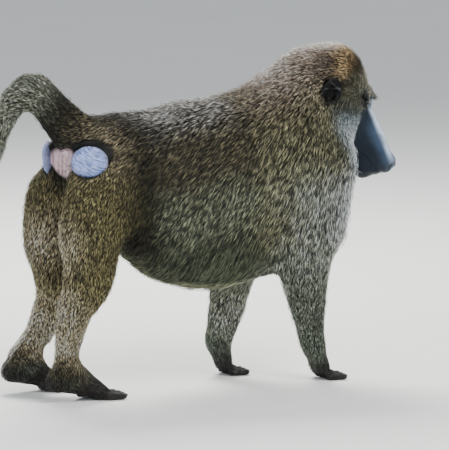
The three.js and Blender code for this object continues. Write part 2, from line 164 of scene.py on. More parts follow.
class Socket:
    """A shader socket that takes part in Python sums."""

    def __init__(self, paint: "Paint", link: bpy.types.NodeSocket) -> None:
        """Keeps the material being painted and the socket itself."""
        self.paint = paint
        self.link = link

    def _sum(self, operation: str, *terms: "Socket | float") -> "Socket":
        """One Math node on these terms."""
        return self.paint.node("ShaderNodeMath", {"operation": operation}, dict(enumerate(terms)))

    def __add__(self, other: "Socket | float") -> "Socket":
        """self + other"""
        return self._sum("ADD", self, other)

    __radd__ = __add__

    def __sub__(self, other: "Socket | float") -> "Socket":
        """self - other"""
        return self._sum("SUBTRACT", self, other)

    def __rsub__(self, other: float) -> "Socket":
        """other - self"""
        return self._sum("SUBTRACT", other, self)

    def __mul__(self, other: "Socket | float") -> "Socket":
        """self * other"""
        return self._sum("MULTIPLY", self, other)

    def __truediv__(self, other: "Socket | float") -> "Socket":
        """self / other"""
        return self._sum("DIVIDE", self, other)

    def __abs__(self) -> "Socket":
        """The size of self without its sign."""
        return self._sum("ABSOLUTE", self)

    def rise(self, low: float, high: float) -> "Socket":
        """A smooth step from 0 at low to 1 at high."""
        return self.paint.node(
            "ShaderNodeMapRange",
            {"interpolation_type": "SMOOTHSTEP", "clamp": True},
            {"Value": self, "From Min": low, "From Max": high, "To Min": 0.0, "To Max": 1.0},
        )


class Paint:
    """A material under the brush: a Principled shader and whatever nodes feed it."""

    def __init__(self, name: str, uniform: dict[str, object]) -> None:
        """Starts the material.

        Args:
            name: the finish's name.
            uniform: values that are the same all over, set on the shader's own sockets.
        """
        self.material = bpy.data.materials.new(name)
        self.material.use_nodes = True
        self.nodes = self.material.node_tree.nodes
        self.links = self.material.node_tree.links
        self.nodes.clear()
        output = self.nodes.new("ShaderNodeOutputMaterial")
        self.shader = self.nodes.new("ShaderNodeBsdfPrincipled")
        self.links.new(self.shader.outputs[0], output.inputs["Surface"])
        for socket, value in uniform.items():
            self.shader.inputs[socket].default_value = value

    def node(
        self, kind: str, settings: dict | None = None, inputs: dict | None = None, output: int | str = 0
    ) -> Socket:
        """Adds a node.

        Args:
            kind: the node's type.
            settings: its own settings, with a ramp's stops under "stops".
            inputs: values or sockets for its inputs, by name or number.
            output: which output is wanted.

        Returns:
            That output, ready for more sums.
        """
        made = self.nodes.new(kind)
        for name, value in (settings or {}).items():
            if name == "stops":
                ramp = made.color_ramp.elements
                while len(ramp) < len(value):
                    ramp.new(0.5)
                for element, (place, colour) in zip(ramp, value):
                    element.position = place
                    element.color = (*colour, 1.0)
            else:
                setattr(made, name, value)
        for name, value in (inputs or {}).items():
            if isinstance(value, Socket):
                self.links.new(value.link, made.inputs[name])
            else:
                made.inputs[name].default_value = value
        return Socket(self, made.outputs[output])

    def place(self) -> Socket:
        """Where on the piece a point is, in metres."""
        return self.node("ShaderNodeTexCoord", output="Object")

    def held(self, attribute: str, output: str = "Fac") -> Socket:
        """What the mesh holds under that name."""
        return self.node("ShaderNodeAttribute", {"attribute_name": attribute}, output=output)

    def cloud(self, scale: float, detail: float = 2.0, roughness: float = 0.5) -> Socket:
        """Soft noise of that many grains to the metre, about 0.5."""
        grain = {"Vector": self.place(), "Scale": scale, "Detail": detail, "Roughness": roughness}
        return self.node("ShaderNodeTexNoise", {}, grain)

    def cells(self, scale: float, feature: str = "F1") -> Socket:
        """The distance to the middle or the edge of a cell, at that many cells to the metre."""
        return self.node("ShaderNodeTexVoronoi", {"feature": feature}, {"Vector": self.place(), "Scale": scale})

    def mix(self, first: object, second: object, share: Socket | float, blend: str = "MIX") -> Socket:
        """A colour between two others, or one laid over the other.

        Args:
            first: the colour at share 0.
            second: the colour at share 1.
            share: how much of the second shows.
            blend: how the second is laid on.

        Returns:
            The mixed colour.
        """
        sockets = {0: share}
        for number, colour in ((6, first), (7, second)):
            sockets[number] = colour if isinstance(colour, Socket) else (*colour, 1.0)
        return self.node("ShaderNodeMix", {"data_type": "RGBA", "blend_type": blend}, sockets, output=2)

    def scaled(self, colour: Socket, factor: Socket | float) -> Socket:
        """A colour made brighter or darker by a factor."""
        return self.node("ShaderNodeVectorMath", {"operation": "SCALE"}, {0: colour, "Scale": factor})

    def capped(self, colour: Socket, most: float = 0.9) -> Socket:
        """A colour held below what a real surface reflects."""
        return self.node("ShaderNodeVectorMath", {"operation": "MINIMUM"}, {0: colour, 1: (most, most, most)})

    def feed(self, socket: str, value: Socket) -> None:
        """Leads a value that varies over the surface into the shader."""
        self.links.new(value.link, self.shader.inputs[socket])

    def relief(self, height: Socket, deep: float, strength: float = 1.0) -> None:
        """Raises the surface's grain.

        Args:
            height: the relief from 0 to 1.
            deep: how far 1 stands above 0, in metres.
            strength: how much of it shows.
        """
        bump = self.node("ShaderNodeBump", {}, {"Strength": strength, "Distance": deep, "Height": height})
        self.feed("Normal", bump)


@dataclass(frozen=True)
class CoatFinish:
    """Ticked hair: each tuft is dark, with one straw-coloured band below a dark tip, and painted shade towards
    its root.
    """

    name: str = "ticked_coat"
    band_at: float = 0.60
    band_half: float = 0.22
    spread: float = 0.24
    dark: float = 0.22
    light: float = 2.6
    streak: float = 38.0

    def dress(self) -> bpy.types.Material:
        """Paints the material and returns it."""
        paint = Paint(self.name, {"Roughness": 0.55, "Specular IOR Level": 0.35})
        tint = paint.held("tint", "Color")
        along, shade, ticking = paint.held("along"), paint.held("shade"), paint.held("ticking")
        middle = shade * self.spread + self.band_at
        band = 1 - (abs(along - middle) / self.band_half).rise(0.3, 1.0)
        level = ticking * (band * (self.light - self.dark) + self.dark) + (1 - ticking)
        level = level * (shade * shade * 4.0 + 0.12)
        streaks = paint.cloud(self.streak, 3.0, 0.6).rise(0.3, 0.7) * 0.5 + 0.75
        # painted shade: each tuft darker towards its root, deep in the coat
        root = along.rise(0.1, 0.6) * 0.75 + 0.25
        colour = paint.scaled(tint, level * streaks * root)
        warm = paint.mix(colour, paint.mix(colour, (1.18, 1.0, 0.72), 1.0, "MULTIPLY"), band * 0.5)
        paint.feed("Base Color", paint.capped(warm))
        return paint.material


@dataclass(frozen=True)
class SkinFinish:
    """Bare hide: fine creases and pores, with painted shade in the creases and a painted highlight along the
    muzzle's ridges in its tint.
    """

    name: str = "hide"
    crease: float = 420.0
    pore: float = 1500.0

    def dress(self) -> bpy.types.Material:
        """Paints the material and returns it."""
        paint = Paint(self.name, {"Specular IOR Level": 0.14})
        tint = paint.held("tint", "Color")
        mottle = paint.cloud(45.0, 4.0, 0.6)
        fine = paint.cloud(380.0, 3.0, 0.6)
        colour = paint.scaled(tint, mottle * 0.8 + 0.45 + fine * 0.3)
        creases = paint.cells(self.crease, "DISTANCE_TO_EDGE").rise(0.0, 0.16)
        pores = paint.cells(self.pore).rise(0.0, 0.5)
        # painted shade: darker down in the creases
        colour = paint.scaled(colour, creases * 0.22 + 0.78)
        paint.feed("Base Color", colour)
        paint.feed("Roughness", 0.34 + fine * 0.16 + (1 - creases) * 0.12)
        paint.relief(creases * 0.6 + pores * 0.2 + fine * 0.5, 0.35 * MM, 0.55)
        return paint.material


@dataclass(frozen=True)
class SeatFinish:
    """The horny, grey-blue seat pads: matt and finely cracked, with painted shade in the cracks and towards the
    rim and painted highlight streaks.
    """

    name: str = "seat_pad_skin"

    def dress(self) -> bpy.types.Material:
        """Paints the material and returns it."""
        paint = Paint(self.name, {"Specular IOR Level": 0.3})
        rim = paint.held("rim")
        blotch = paint.cloud(60.0, 5.0, 0.65)
        fine = paint.cloud(520.0, 3.0, 0.6)
        brushed = paint.held("brushed")
        cracks = paint.cells(230.0, "DISTANCE_TO_EDGE").rise(0.0, 0.10)
        # the pad's own blue blotches mixed with painted highlight streaks
        patchy = (blotch * 0.5 + brushed * 0.5).rise(0.34, 0.62)
        colour = paint.mix((0.10, 0.15, 0.36), (0.38, 0.49, 0.90), patchy)
        colour = paint.mix(colour, (0.42, 0.38, 0.44), (fine * blotch).rise(0.22, 0.42) * 0.5)
        # painted shade: darker down in the cracks
        colour = paint.mix((0.085, 0.09, 0.13), colour, cracks * 0.5 + 0.5)
        # painted shade: darker towards the rim, where the pad sinks under the fur
        colour = paint.mix(colour, (0.120, 0.105, 0.140), rim.rise(0.7, 1.0) * 0.75)
        paint.feed("Base Color", colour)
        paint.feed("Roughness", 0.62 + fine * 0.2)
        paint.relief(cracks * 0.7 + fine * 0.6, 0.5 * MM, 0.6)
        return paint.material


@dataclass(frozen=True)
class EyeFinish:
    """A wet eye: round pupil, amber-brown iris with fine rays, dark rim and brown white."""

    name: str = "eye"

    def dress(self) -> bpy.types.Material:
        """Paints the material and returns it."""
        paint = Paint(self.name, {"Roughness": 0.08, "Coat Weight": 1.0, "Coat Roughness": 0.02})
        ring = paint.held("ring")
        fan = {"W": paint.held("turn") * 60.0, "Detail": 3.0}
        rays = paint.node("ShaderNodeTexNoise", {"noise_dimensions": "1D"}, fan)
        lit = (rays * 0.6 + ring * 0.9).rise(0.3, 0.85)
        iris = paint.mix((0.075, 0.030, 0.010), (0.300, 0.130, 0.035), lit)
        colour = paint.mix((0.002, 0.002, 0.002), iris, ring.rise(0.150, 0.172))
        colour = paint.mix(colour, (0.012, 0.007, 0.005), ring.rise(0.40, 0.45))
        colour = paint.mix(colour, (0.120, 0.070, 0.050), ring.rise(0.47, 0.56))
        paint.feed("Base Color", colour)
        return paint.material


@dataclass(frozen=True)
class NailFinish:
    """Dark horn, polished by walking, with a fine mottled grain."""

    name: str = "nail_horn"

    def dress(self) -> bpy.types.Material:
        """Paints the material and returns it."""
        paint = Paint(self.name, {"Specular IOR Level": 0.5})
        grain = paint.cloud(900.0, 3.0, 0.6)
        colour = paint.mix((0.012, 0.010, 0.009), (0.060, 0.050, 0.042), grain.rise(0.3, 0.8))
        paint.feed("Base Color", colour)
        paint.feed("Roughness", 0.28 + grain * 0.2)
        paint.relief(grain, 0.15 * MM, 0.4)
        return paint.material


@dataclass(frozen=True)
class FloorFinish:
    """A plain, pale, matt studio floor."""

    name: str = "studio_floor"

    def dress(self) -> bpy.types.Material:
        """Paints the material and returns it."""
        paint = Paint(self.name, {"Roughness": 0.9, "Specular IOR Level": 0.2})
        paint.feed("Base Color", paint.mix((0.76, 0.77, 0.75), (0.80, 0.81, 0.79), paint.cloud(2.0)))
        return paint.material


# ---------------------------------------------------------------- bench tools


def unpick() -> None:
    """Deselects everything, so that the next tool works on one piece alone."""
    bpy.ops.object.select_all(action="DESELECT")


def pick(obj: bpy.types.Object) -> None:
    """Selects one piece and makes it the active one."""
    unpick()
    obj.select_set(True)
    bpy.context.view_layer.objects.active = obj


def apply_modifier(obj: bpy.types.Object, kind: str, **settings: object) -> None:
    """Adds one modifier to a piece and applies it.

    Args:
        obj: the piece.
        kind: the modifier's type.
        settings: its settings.
    """
    pick(obj)
    modifier = obj.modifiers.new(kind.lower(), kind)
    for name, value in settings.items():
        setattr(modifier, name, value)
    bpy.ops.object.modifier_apply(modifier=modifier.name)


def edited(obj: bpy.types.Object, *tools: Callable[[], object]) -> bpy.types.Object:
    """Runs mesh tools over the whole of a piece.

    Args:
        obj: the piece.
        tools: the tools, in order, each ready to be called.

    Returns:
        The piece.
    """
    pick(obj)
    bpy.ops.object.mode_set(mode="EDIT")
    bpy.ops.mesh.select_all(action="SELECT")
    for tool in tools:
        tool()
    bpy.ops.object.mode_set(mode="OBJECT")
    return obj


def fattened(by: float) -> Callable[[], object]:
    """The tool that moves a whole surface outwards by that many millimetres."""
    return partial(bpy.ops.transform.shrink_fatten, value=by * MM)


def merged(nearer: float) -> Callable[[], object]:
    """The tool that merges points nearer to each other than that many millimetres."""
    return partial(bpy.ops.mesh.remove_doubles, threshold=nearer * MM)


def placed(name: str, data: bpy.types.ID) -> bpy.types.Object:
    """A new object in the scene that shows that mesh, light or camera."""
    obj = bpy.data.objects.new(name, data)
    bpy.context.scene.collection.objects.link(obj)
    return obj


def copy_of(node: str) -> bpy.types.Object:
    """A merged copy of a solid, for carving."""
    obj = placed(f"cast_{node}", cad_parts[node].data.copy())
    obj.data.materials.clear()
    return edited(obj, merged(0.01))


def joined(objects: list[bpy.types.Object], name: str) -> bpy.types.Object:
    """Several pieces as one, under that name."""
    unpick()
    for obj in objects:
        obj.select_set(True)
    bpy.context.view_layer.objects.active = objects[0]
    bpy.ops.object.join()
    objects[0].name = name
    objects[0].data.name = name
    return objects[0]


def step_up(value: np.ndarray, low: float, high: float) -> np.ndarray:
    """A smooth step from 0 at low to 1 at high."""
    t = np.clip((value - low) / (high - low), 0.0, 1.0)
    return t * t * (3.0 - 2.0 * t)


def mound(value: np.ndarray, middle: float, half: float) -> np.ndarray:
    """A soft hump of height 1 about a middle."""
    return np.exp(-(((value - middle) / half) ** 2))


def unit(rows: np.ndarray) -> np.ndarray:
    """Each row at length 1."""
    return rows / np.maximum(np.linalg.norm(rows, axis=1, keepdims=True), 1e-9)


def within(matrix: Matrix, points: np.ndarray) -> np.ndarray:
    """Points in millimetres as seen from a part's own frame."""
    inverse = np.array(matrix.inverted())
    return (points @ inverse[:3, :3].T + inverse[:3, 3]) / MM


def centre_of(node: str) -> Vector:
    """The middle of a solid's box."""
    low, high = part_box(node)
    return (low + high) / 2


def nearest(tree: BVHTree, points: np.ndarray) -> list[np.ndarray]:
    """What a surface has nearest to each point: the place, its facing, its face's number and how far off."""
    found = [tree.find_nearest(p) for p in points.tolist()]
    return [np.array([one[k] for one in found]) for k in range(4)]


def tree_of(node: str) -> BVHTree:
    """A solid's surface, for finding what is near it."""
    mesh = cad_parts[node].data
    corners = [v.co.copy() for v in mesh.vertices]
    return BVHTree.FromPolygons(corners, [list(p.vertices) for p in mesh.polygons])


def around_pad(side: Side, points: np.ndarray) -> tuple[np.ndarray, np.ndarray]:
    """How far points lie from a seat pad's middle, in its own plane, and how far up beside it they are.

    Args:
        side: which pad.
        points: one place a row, in metres.

    Returns:
        The distance, 1 on the pad's outline and far away for what isn't near its plane; and 0 below to 1 above.
    """
    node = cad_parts[f"seat_pad_{side.word}"]
    pad = np.array([v.co for v in node.data.vertices])
    middle = (pad.max(0) + pad.min(0)) / 2
    axes = np.linalg.svd(pad - middle, full_matrices=False)[2]
    half = np.abs((pad - middle) @ axes.T).max(0)
    offset = (points - middle) @ axes.T
    far = np.hypot(offset[:, 0] / half[0], offset[:, 1] / half[1])
    far = np.where(np.abs(offset[:, 2]) < PAD_REACH, far, FAR_OFF)
    return far, step_up(points[:, 2] - middle[2], -0.020, 0.015)


def spot(node: str, share: Triple) -> Vector:
    """A place in a solid's box, as shares of its length, width and height."""
    low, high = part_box(node)
    return Vector(low[k] + share[k] * (high[k] - low[k]) for k in range(3))


class Form:
    """A mesh's points and edges as arrays, for shaping as if in clay."""

    def __init__(self, obj: bpy.types.Object) -> None:
        """Reads the mesh."""
        self.obj = obj
        mesh = obj.data
        self.count = len(mesh.vertices)
        points = np.empty(self.count * 3, np.float32)
        mesh.vertices.foreach_get("co", points)
        self.points = points.reshape(-1, 3).astype(np.float64)
        edges = np.empty(len(mesh.edges) * 2, np.int32)
        mesh.edges.foreach_get("vertices", edges)
        self.edges = edges.reshape(-1, 2)
        self.degree = np.maximum(np.bincount(self.edges.ravel(), minlength=self.count), 1)[:, None]

    def triangles(self) -> np.ndarray:
        """The three corners of each of the mesh's triangles."""
        mesh = self.obj.data
        mesh.calc_loop_triangles()
        corners = np.empty(len(mesh.loop_triangles) * 3, np.int32)
        mesh.loop_triangles.foreach_get("vertices", corners)
        return corners.reshape(-1, 3)

    def average(self, values: np.ndarray) -> np.ndarray:
        """Each point's mean over its neighbours, of any values held by the points."""
        a, b = self.edges.T
        columns = [
            np.bincount(a, values[b, k], self.count) + np.bincount(b, values[a, k], self.count)
            for k in range(values.shape[1])
        ]
        return np.stack(columns, axis=1) / self.degree

    def soften(self, share: np.ndarray | float, rounds: int) -> None:
        """Evens out the surface.

        Args:
            share: how much of each step a point takes.
            rounds: how many steps.
        """
        for _ in range(rounds):
            self.points += 0.6 * share * (self.average(self.points) - self.points)

    def normals(self) -> np.ndarray:
        """The surface's outward direction at each point."""
        self.write()
        flat = np.empty(self.count * 3, np.float32)
        self.obj.data.vertex_normals.foreach_get("vector", flat)
        return flat.reshape(-1, 3).astype(np.float64)

    def push(self, height: np.ndarray) -> None:
        """Moves each point outwards by its own height."""
        self.points += self.normals() * height[:, None]

    def write(self) -> None:
        """Puts the points back into the mesh."""
        self.obj.data.vertices.foreach_set("co", self.points.astype(np.float32).ravel())
        self.obj.data.update()


def hold(mesh: bpy.types.Mesh, name: str, values: np.ndarray) -> None:
    """Stores numbers or colours with a mesh's points.

    Args:
        mesh: the mesh.
        name: the name that materials read.
        values: one number, or one colour of three, for each point.
    """
    if values.ndim == 1:
        mesh.attributes.new(name, "FLOAT", "POINT").data.foreach_set("value", values.astype(np.float32))
    else:
        colours = np.ones((len(values), 4), np.float32)
        colours[:, :3] = values
        mesh.attributes.new(name, "FLOAT_COLOR", "POINT").data.foreach_set("color", colours.ravel())


def smooth(obj: bpy.types.Object) -> None:
    """Shades every face smooth."""
    obj.data.polygons.foreach_set("use_smooth", np.ones(len(obj.data.polygons), bool))
    obj.data.update()


def present(obj: bpy.types.Object, slot: str, material: bpy.types.Material, *nodes: str) -> bpy.types.Object:
    """Dresses a finished piece, hides the solids that it replaces and logs its size.

    Args:
        obj: the piece.
        slot: not used.
        material: its finish.
        nodes: the solids that it replaces.

    Returns:
        The piece.
    """
    obj.data.materials.clear()
    obj.data.materials.append(material)
    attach(obj, "root")
    if nodes:
        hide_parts(*nodes)
    LOG.info("%s: %d triangles", obj.name, sum(len(p.vertices) - 2 for p in obj.data.polygons))
    return obj


# ---------------------------------------------------------------- the body's plan


@dataclass(frozen=True)
class Station:
    """How the coat lies and looks about one place of the body."""

    at: Vector
    lie: Vector
    coat: Coat
    tone: Tone
    reach: float


@dataclass
class Plan:
    """The body's landmarks, worked out from the solids, and how its coat lies over them."""

    eye_ahead: float = 88.0
    eye_below: float = 33.0
    muzzle_root: Triple = (105.0, 0.0, -40.0)
    muzzle_drop: float = 62.0
    ear_lean: float = 27.0
    ear_flare: float = 8.0
    eye_out: float = 12.0
    eye_down: float = 6.0
    stations: list[Station] = field(default_factory=list)

    def __post_init__(self) -> None:
        """Finds the head's frame from its eyes, and lays out the stations."""
        right, left = (centre_of(f"eye_{side.word}") for side in Side)
        across = (left - right).normalized()
        up = Vector((0, 0, 1))
        ahead = across.cross(up).normalized()
        origin = (left + right) / 2 - ahead * self.eye_ahead * MM + up * self.eye_below * MM
        turned = Matrix((ahead, across, up)).transposed().to_4x4()
        self.head = Matrix.Translation(origin) @ turned
        self.muzzle = (
            self.head
            @ Matrix.Translation(Vector(self.muzzle_root) * MM)
            @ Matrix.Rotation(math.radians(self.muzzle_drop), 4, "Y")
        )
        self._lay_trunk()
        self._lay_head()
        self._lay_limbs()
        self._lay_tail()

    def ear(self, side: Side) -> Matrix:
        """The frame of an ear: X forward across it, Y out of it and Z up along it."""
        return self._on_head(f"ear_{side.word}", -self.ear_flare * side.value, self.ear_lean)

    def eye(self, side: Side) -> Matrix:
        """The frame of an eye, with X along its gaze."""
        return self._on_head(f"eye_{side.word}", self.eye_out * side.value, self.eye_down)

    def _on_head(self, node: str, turn: float, dip: float) -> Matrix:
        """The head's frame moved to a solid's middle, turned outwards and dipped by those angles in degrees."""
        turned = Matrix.Rotation(math.radians(turn), 4, "Z") @ Matrix.Rotation(math.radians(dip), 4, "Y")
        return Matrix.Translation(centre_of(node)) @ self.head.to_3x3().to_4x4() @ turned

    def _lay(self, node: str, share: Triple, lie: Triple, coat: Coat, tone: Tone, reach: float = 55.0) -> None:
        """Adds one station on a solid, and its twin where it lies to one side.

        Args:
            node: the solid, with {} for its side where it has one.
            share: the place in the solid's box, as on the right side.
            lie: which way the hair points there.
            coat: its cut.
            tone: its colour.
            reach: how far it counts, in millimetres.
        """
        for side in Side:
            name = node.format(side.word)
            mirror = side is Side.LEFT
            if mirror and name == node and share[1] == 0.5:
                continue
            place = (share[0], 1 - share[1] if mirror else share[1], share[2])
            direction = Vector((lie[0], -lie[1] if mirror else lie[1], lie[2])).normalized()
            self.stations.append(Station(spot(name, place), direction, coat, tone, reach * MM))

    def _lay_on_head(self, at: Triple, lie: Triple, coat: Coat, tone: Tone, reach: float = 24.0) -> None:
        """Adds one station in the head's frame in millimetres, and its twin where it lies to one side."""
        for side in Side:
            if side is Side.LEFT and at[1] == 0:
                continue
            flip = Vector((1, -side.value, 1))
            place = self.head @ (Vector(at) * flip * MM)
            direction = (self.head.to_3x3() @ (Vector(lie) * flip)).normalized()
            self.stations.append(Station(place, direction, coat, tone, reach * MM))

    def _lay_trunk(self) -> None:
        """Lays the coat of the back, flanks, belly, shoulders and chest."""
        for share, lie, coat, tone in (
            ((0.12, 0.5, 0.74), (-0.80, 0, -0.60), Coat.RUMP, Tone.TAIL_ROOT),
            ((0.17, 0.22, 0.76), (-0.75, 0, -0.65), Coat.RUMP, Tone.RUMP),
            ((0.26, 0.18, 0.82), (-0.85, 0, -0.50), Coat.BACK, Tone.LOIN),
            ((0.24, 0.5, 0.80), (-0.93, 0, -0.36), Coat.BACK, Tone.LOIN),
            ((0.36, 0.5, 0.85), (-0.96, 0, -0.25), Coat.BACK, Tone.BACK),
            ((0.52, 0.5, 0.90), (-0.96, 0, -0.25), Coat.BACK, Tone.BACK),
            ((0.68, 0.5, 0.98), (-0.92, 0, -0.35), Coat.NAPE, Tone.HUMP),
            ((0.26, 0.10, 0.62), (-0.70, -0.05, -0.70), Coat.BACK, Tone.LOIN),
            ((0.40, 0.10, 0.66), (-0.75, -0.05, -0.65), Coat.FLANK, Tone.HUMP),
            ((0.56, 0.06, 0.72), (-0.72, -0.05, -0.70), Coat.FLANK, Tone.HUMP),
            ((0.40, 0.02, 0.44), (-0.50, 0, -0.86), Coat.FLANK, Tone.FLANK),
            ((0.56, 0.00, 0.48), (-0.48, 0, -0.88), Coat.FLANK, Tone.FLANK),
            ((0.42, 0.10, 0.18), (-0.35, 0, -0.94), Coat.BELLY, Tone.FLANK_LOW),
            ((0.60, 0.08, 0.18), (-0.28, 0, -0.96), Coat.BELLY, Tone.FLANK_LOW),
            ((0.32, 0.50, 0.10), (-0.90, 0, -0.40), Coat.BELLY, Tone.BELLY),
            ((0.52, 0.50, 0.02), (-0.90, 0, -0.40), Coat.BELLY, Tone.BELLY),
            ((0.70, 0.50, 0.04), (-0.80, 0, -0.60), Coat.BELLY, Tone.BELLY),
            ((0.74, 0.02, 0.66), (-0.50, 0, -0.86), Coat.MANE, Tone.SHOULDER),
            ((0.72, 0.02, 0.40), (-0.38, 0, -0.92), Coat.MANE, Tone.SHOULDER),
            ((0.82, 0.02, 0.50), (-0.30, 0, -0.95), Coat.MANE, Tone.MANE_LOW),
            ((0.86, 0.08, 0.26), (-0.15, 0, -0.99), Coat.MANE, Tone.MANE_LOW),
            ((0.97, 0.35, 0.50), (0.10, 0, -1.00), Coat.MANE, Tone.CHEST),
            ((0.95, 0.50, 0.22), (0.05, 0, -1.00), Coat.MANE, Tone.CHEST),
            ((0.94, 0.16, 0.40), (0.00, 0, -1.00), Coat.MANE, Tone.CHEST),
            ((0.84, 0.50, 0.10), (-0.50, 0, -0.80), Coat.BELLY, Tone.MANE_LOW),
            ((0.15, 0.06, 0.52), (-0.45, 0, -0.90), Coat.RUMP, Tone.THIGH),
            ((0.22, 0.04, 0.50), (-0.48, 0, -0.88), Coat.FLANK, Tone.LOIN),
            ((0.24, 0.06, 0.30), (-0.40, 0, -0.92), Coat.FLANK, Tone.LOIN),
        ):
            self._lay("trunk", share, lie, coat, tone, 40)
        self._lay("neck", (0.30, 0.5, 0.92), (-0.97, 0, -0.10), Coat.NAPE, Tone.NAPE)
        self._lay("neck", (0.30, 0.12, 0.70), (-0.75, -0.05, -0.60), Coat.NAPE, Tone.HUMP)
        self._lay("neck", (0.45, 0.02, 0.35), (-0.45, 0, -0.88), Coat.MANE, Tone.SHOULDER)

    def _lay_head(self) -> None:
        """Lays the coat of the crown, brow, cheeks and throat."""
        for at, lie, coat, tone, reach in (
            ((-5, 0, 108), (-0.95, 0, 0.25), Coat.CROWN, Tone.FRINGE, 24),
            ((-60, 0, 95), (-0.98, 0, 0.10), Coat.NAPE, Tone.NAPE, 26),
            ((32, 0, 108), (-0.90, 0, 0.40), Coat.CROWN, Tone.FRINGE, 18),
            ((-10, -44, 88), (-0.95, -0.1, 0.10), Coat.CROWN, Tone.BACK_OF_HEAD, 29),
            ((24, -50, 78), (-0.92, -0.1, 0.20), Coat.CROWN, Tone.BACK_OF_HEAD, 15),
            ((54, -20, 92), (-0.85, 0, 0.50), Coat.CROWN, Tone.CROWN, 13),
            ((52, -46, 74), (-0.85, -0.1, 0.40), Coat.CROWN, Tone.CROWN, 13),
            ((46, -62, 46), (-0.85, -0.1, 0.15), Coat.CROWN, Tone.CROWN, 11),
            ((76, 0, 84), (-0.60, 0, 0.80), Coat.FOREHEAD, Tone.FOREHEAD, 15),
            ((72, -38, 70), (-0.60, 0, 0.80), Coat.FOREHEAD, Tone.FOREHEAD, 14),
            ((92, 0, 52), (-0.25, 0, 0.96), Coat.FOREHEAD, Tone.FOREHEAD, 18),
            ((80, -46, 44), (-0.60, -0.1, 0.70), Coat.FOREHEAD, Tone.FOREHEAD, 18),
            ((100, 0, 28), (-0.15, 0, 0.96), Coat.FOREHEAD, Tone.FOREHEAD, 14),
            ((70, -56, 14), (-0.45, -0.2, 0.75), Coat.FOREHEAD, Tone.TEMPLE, 14),
            ((88, -48, 10), (0.15, -0.2, 0.95), Coat.BROW, Tone.FOREHEAD, 12),
            ((90, -50, -8), (0.10, -0.25, 0.60), Coat.PARTING, Tone.TEMPLE, 13),
            ((108, 0, 8), (0.50, 0, 0.85), Coat.BROW, Tone.BROW, 12),
            ((116, -18, 0), (0.80, -0.10, 0.55), Coat.BROW, Tone.BROW, 12),
            ((120, -18, -16), (0.85, -0.15, -0.10), Coat.BROW, Tone.FOREHEAD, 9),
            ((106, -42, -6), (0.75, -0.25, 0.60), Coat.BROW, Tone.BROW, 13),
            ((98, -48, -22), (0.70, -0.30, 0.10), Coat.BROW, Tone.TEMPLE, 11),
            ((78, -58, -18), (-0.50, -0.20, -0.30), Coat.PARTING, Tone.TEMPLE, 11),
            ((50, -66, 10), (-0.70, -0.1, 0.10), Coat.FOREHEAD, Tone.TEMPLE, 18),
            ((10, -72, 50), (-0.92, -0.1, -0.10), Coat.CROWN, Tone.BACK_OF_HEAD, 32),
            ((30, -74, -8), (-0.40, -0.2, -0.70), Coat.CHEEK, Tone.TEMPLE, 17),
            ((62, -62, -18), (-0.25, -0.2, -0.90), Coat.CHEEK, Tone.TEMPLE, 17),
            ((76, -46, -58), (-0.34, -0.1, -0.94), Coat.CHEEK, Tone.CHEEK, 22),
            ((38, -80, -50), (-0.22, -0.1, -0.97), Coat.CHEEK, Tone.CHEEK, 22),
            ((50, -66, -84), (-0.36, -0.1, -0.93), Coat.CHEEK, Tone.CHIN_FUR, 22),
            ((54, -40, -120), (-0.38, -0.1, -0.92), Coat.CHEEK, Tone.CHIN_FUR, 24),
            ((44, -54, -148), (-0.38, -0.1, -0.92), Coat.CHEEK, Tone.CHIN_FUR, 20),
            ((40, -62, -128), (-0.34, -0.1, -0.94), Coat.CHEEK, Tone.CHIN_FUR, 18),
            ((6, -84, -96), (-0.35, -0.1, -0.95), Coat.CHEEK, Tone.BACK_OF_HEAD, 26),
            ((22, 0, -145), (-0.55, 0, -0.85), Coat.CHEEK, Tone.MANE_LOW, 30),
            ((-38, -88, -20), (-0.60, -0.1, -0.78), Coat.NAPE, Tone.SHOULDER, 28),
            ((-60, -60, 60), (-0.85, -0.1, -0.40), Coat.NAPE, Tone.HUMP, 30),
        ):
            self._lay_on_head(at, lie, coat, tone, reach)

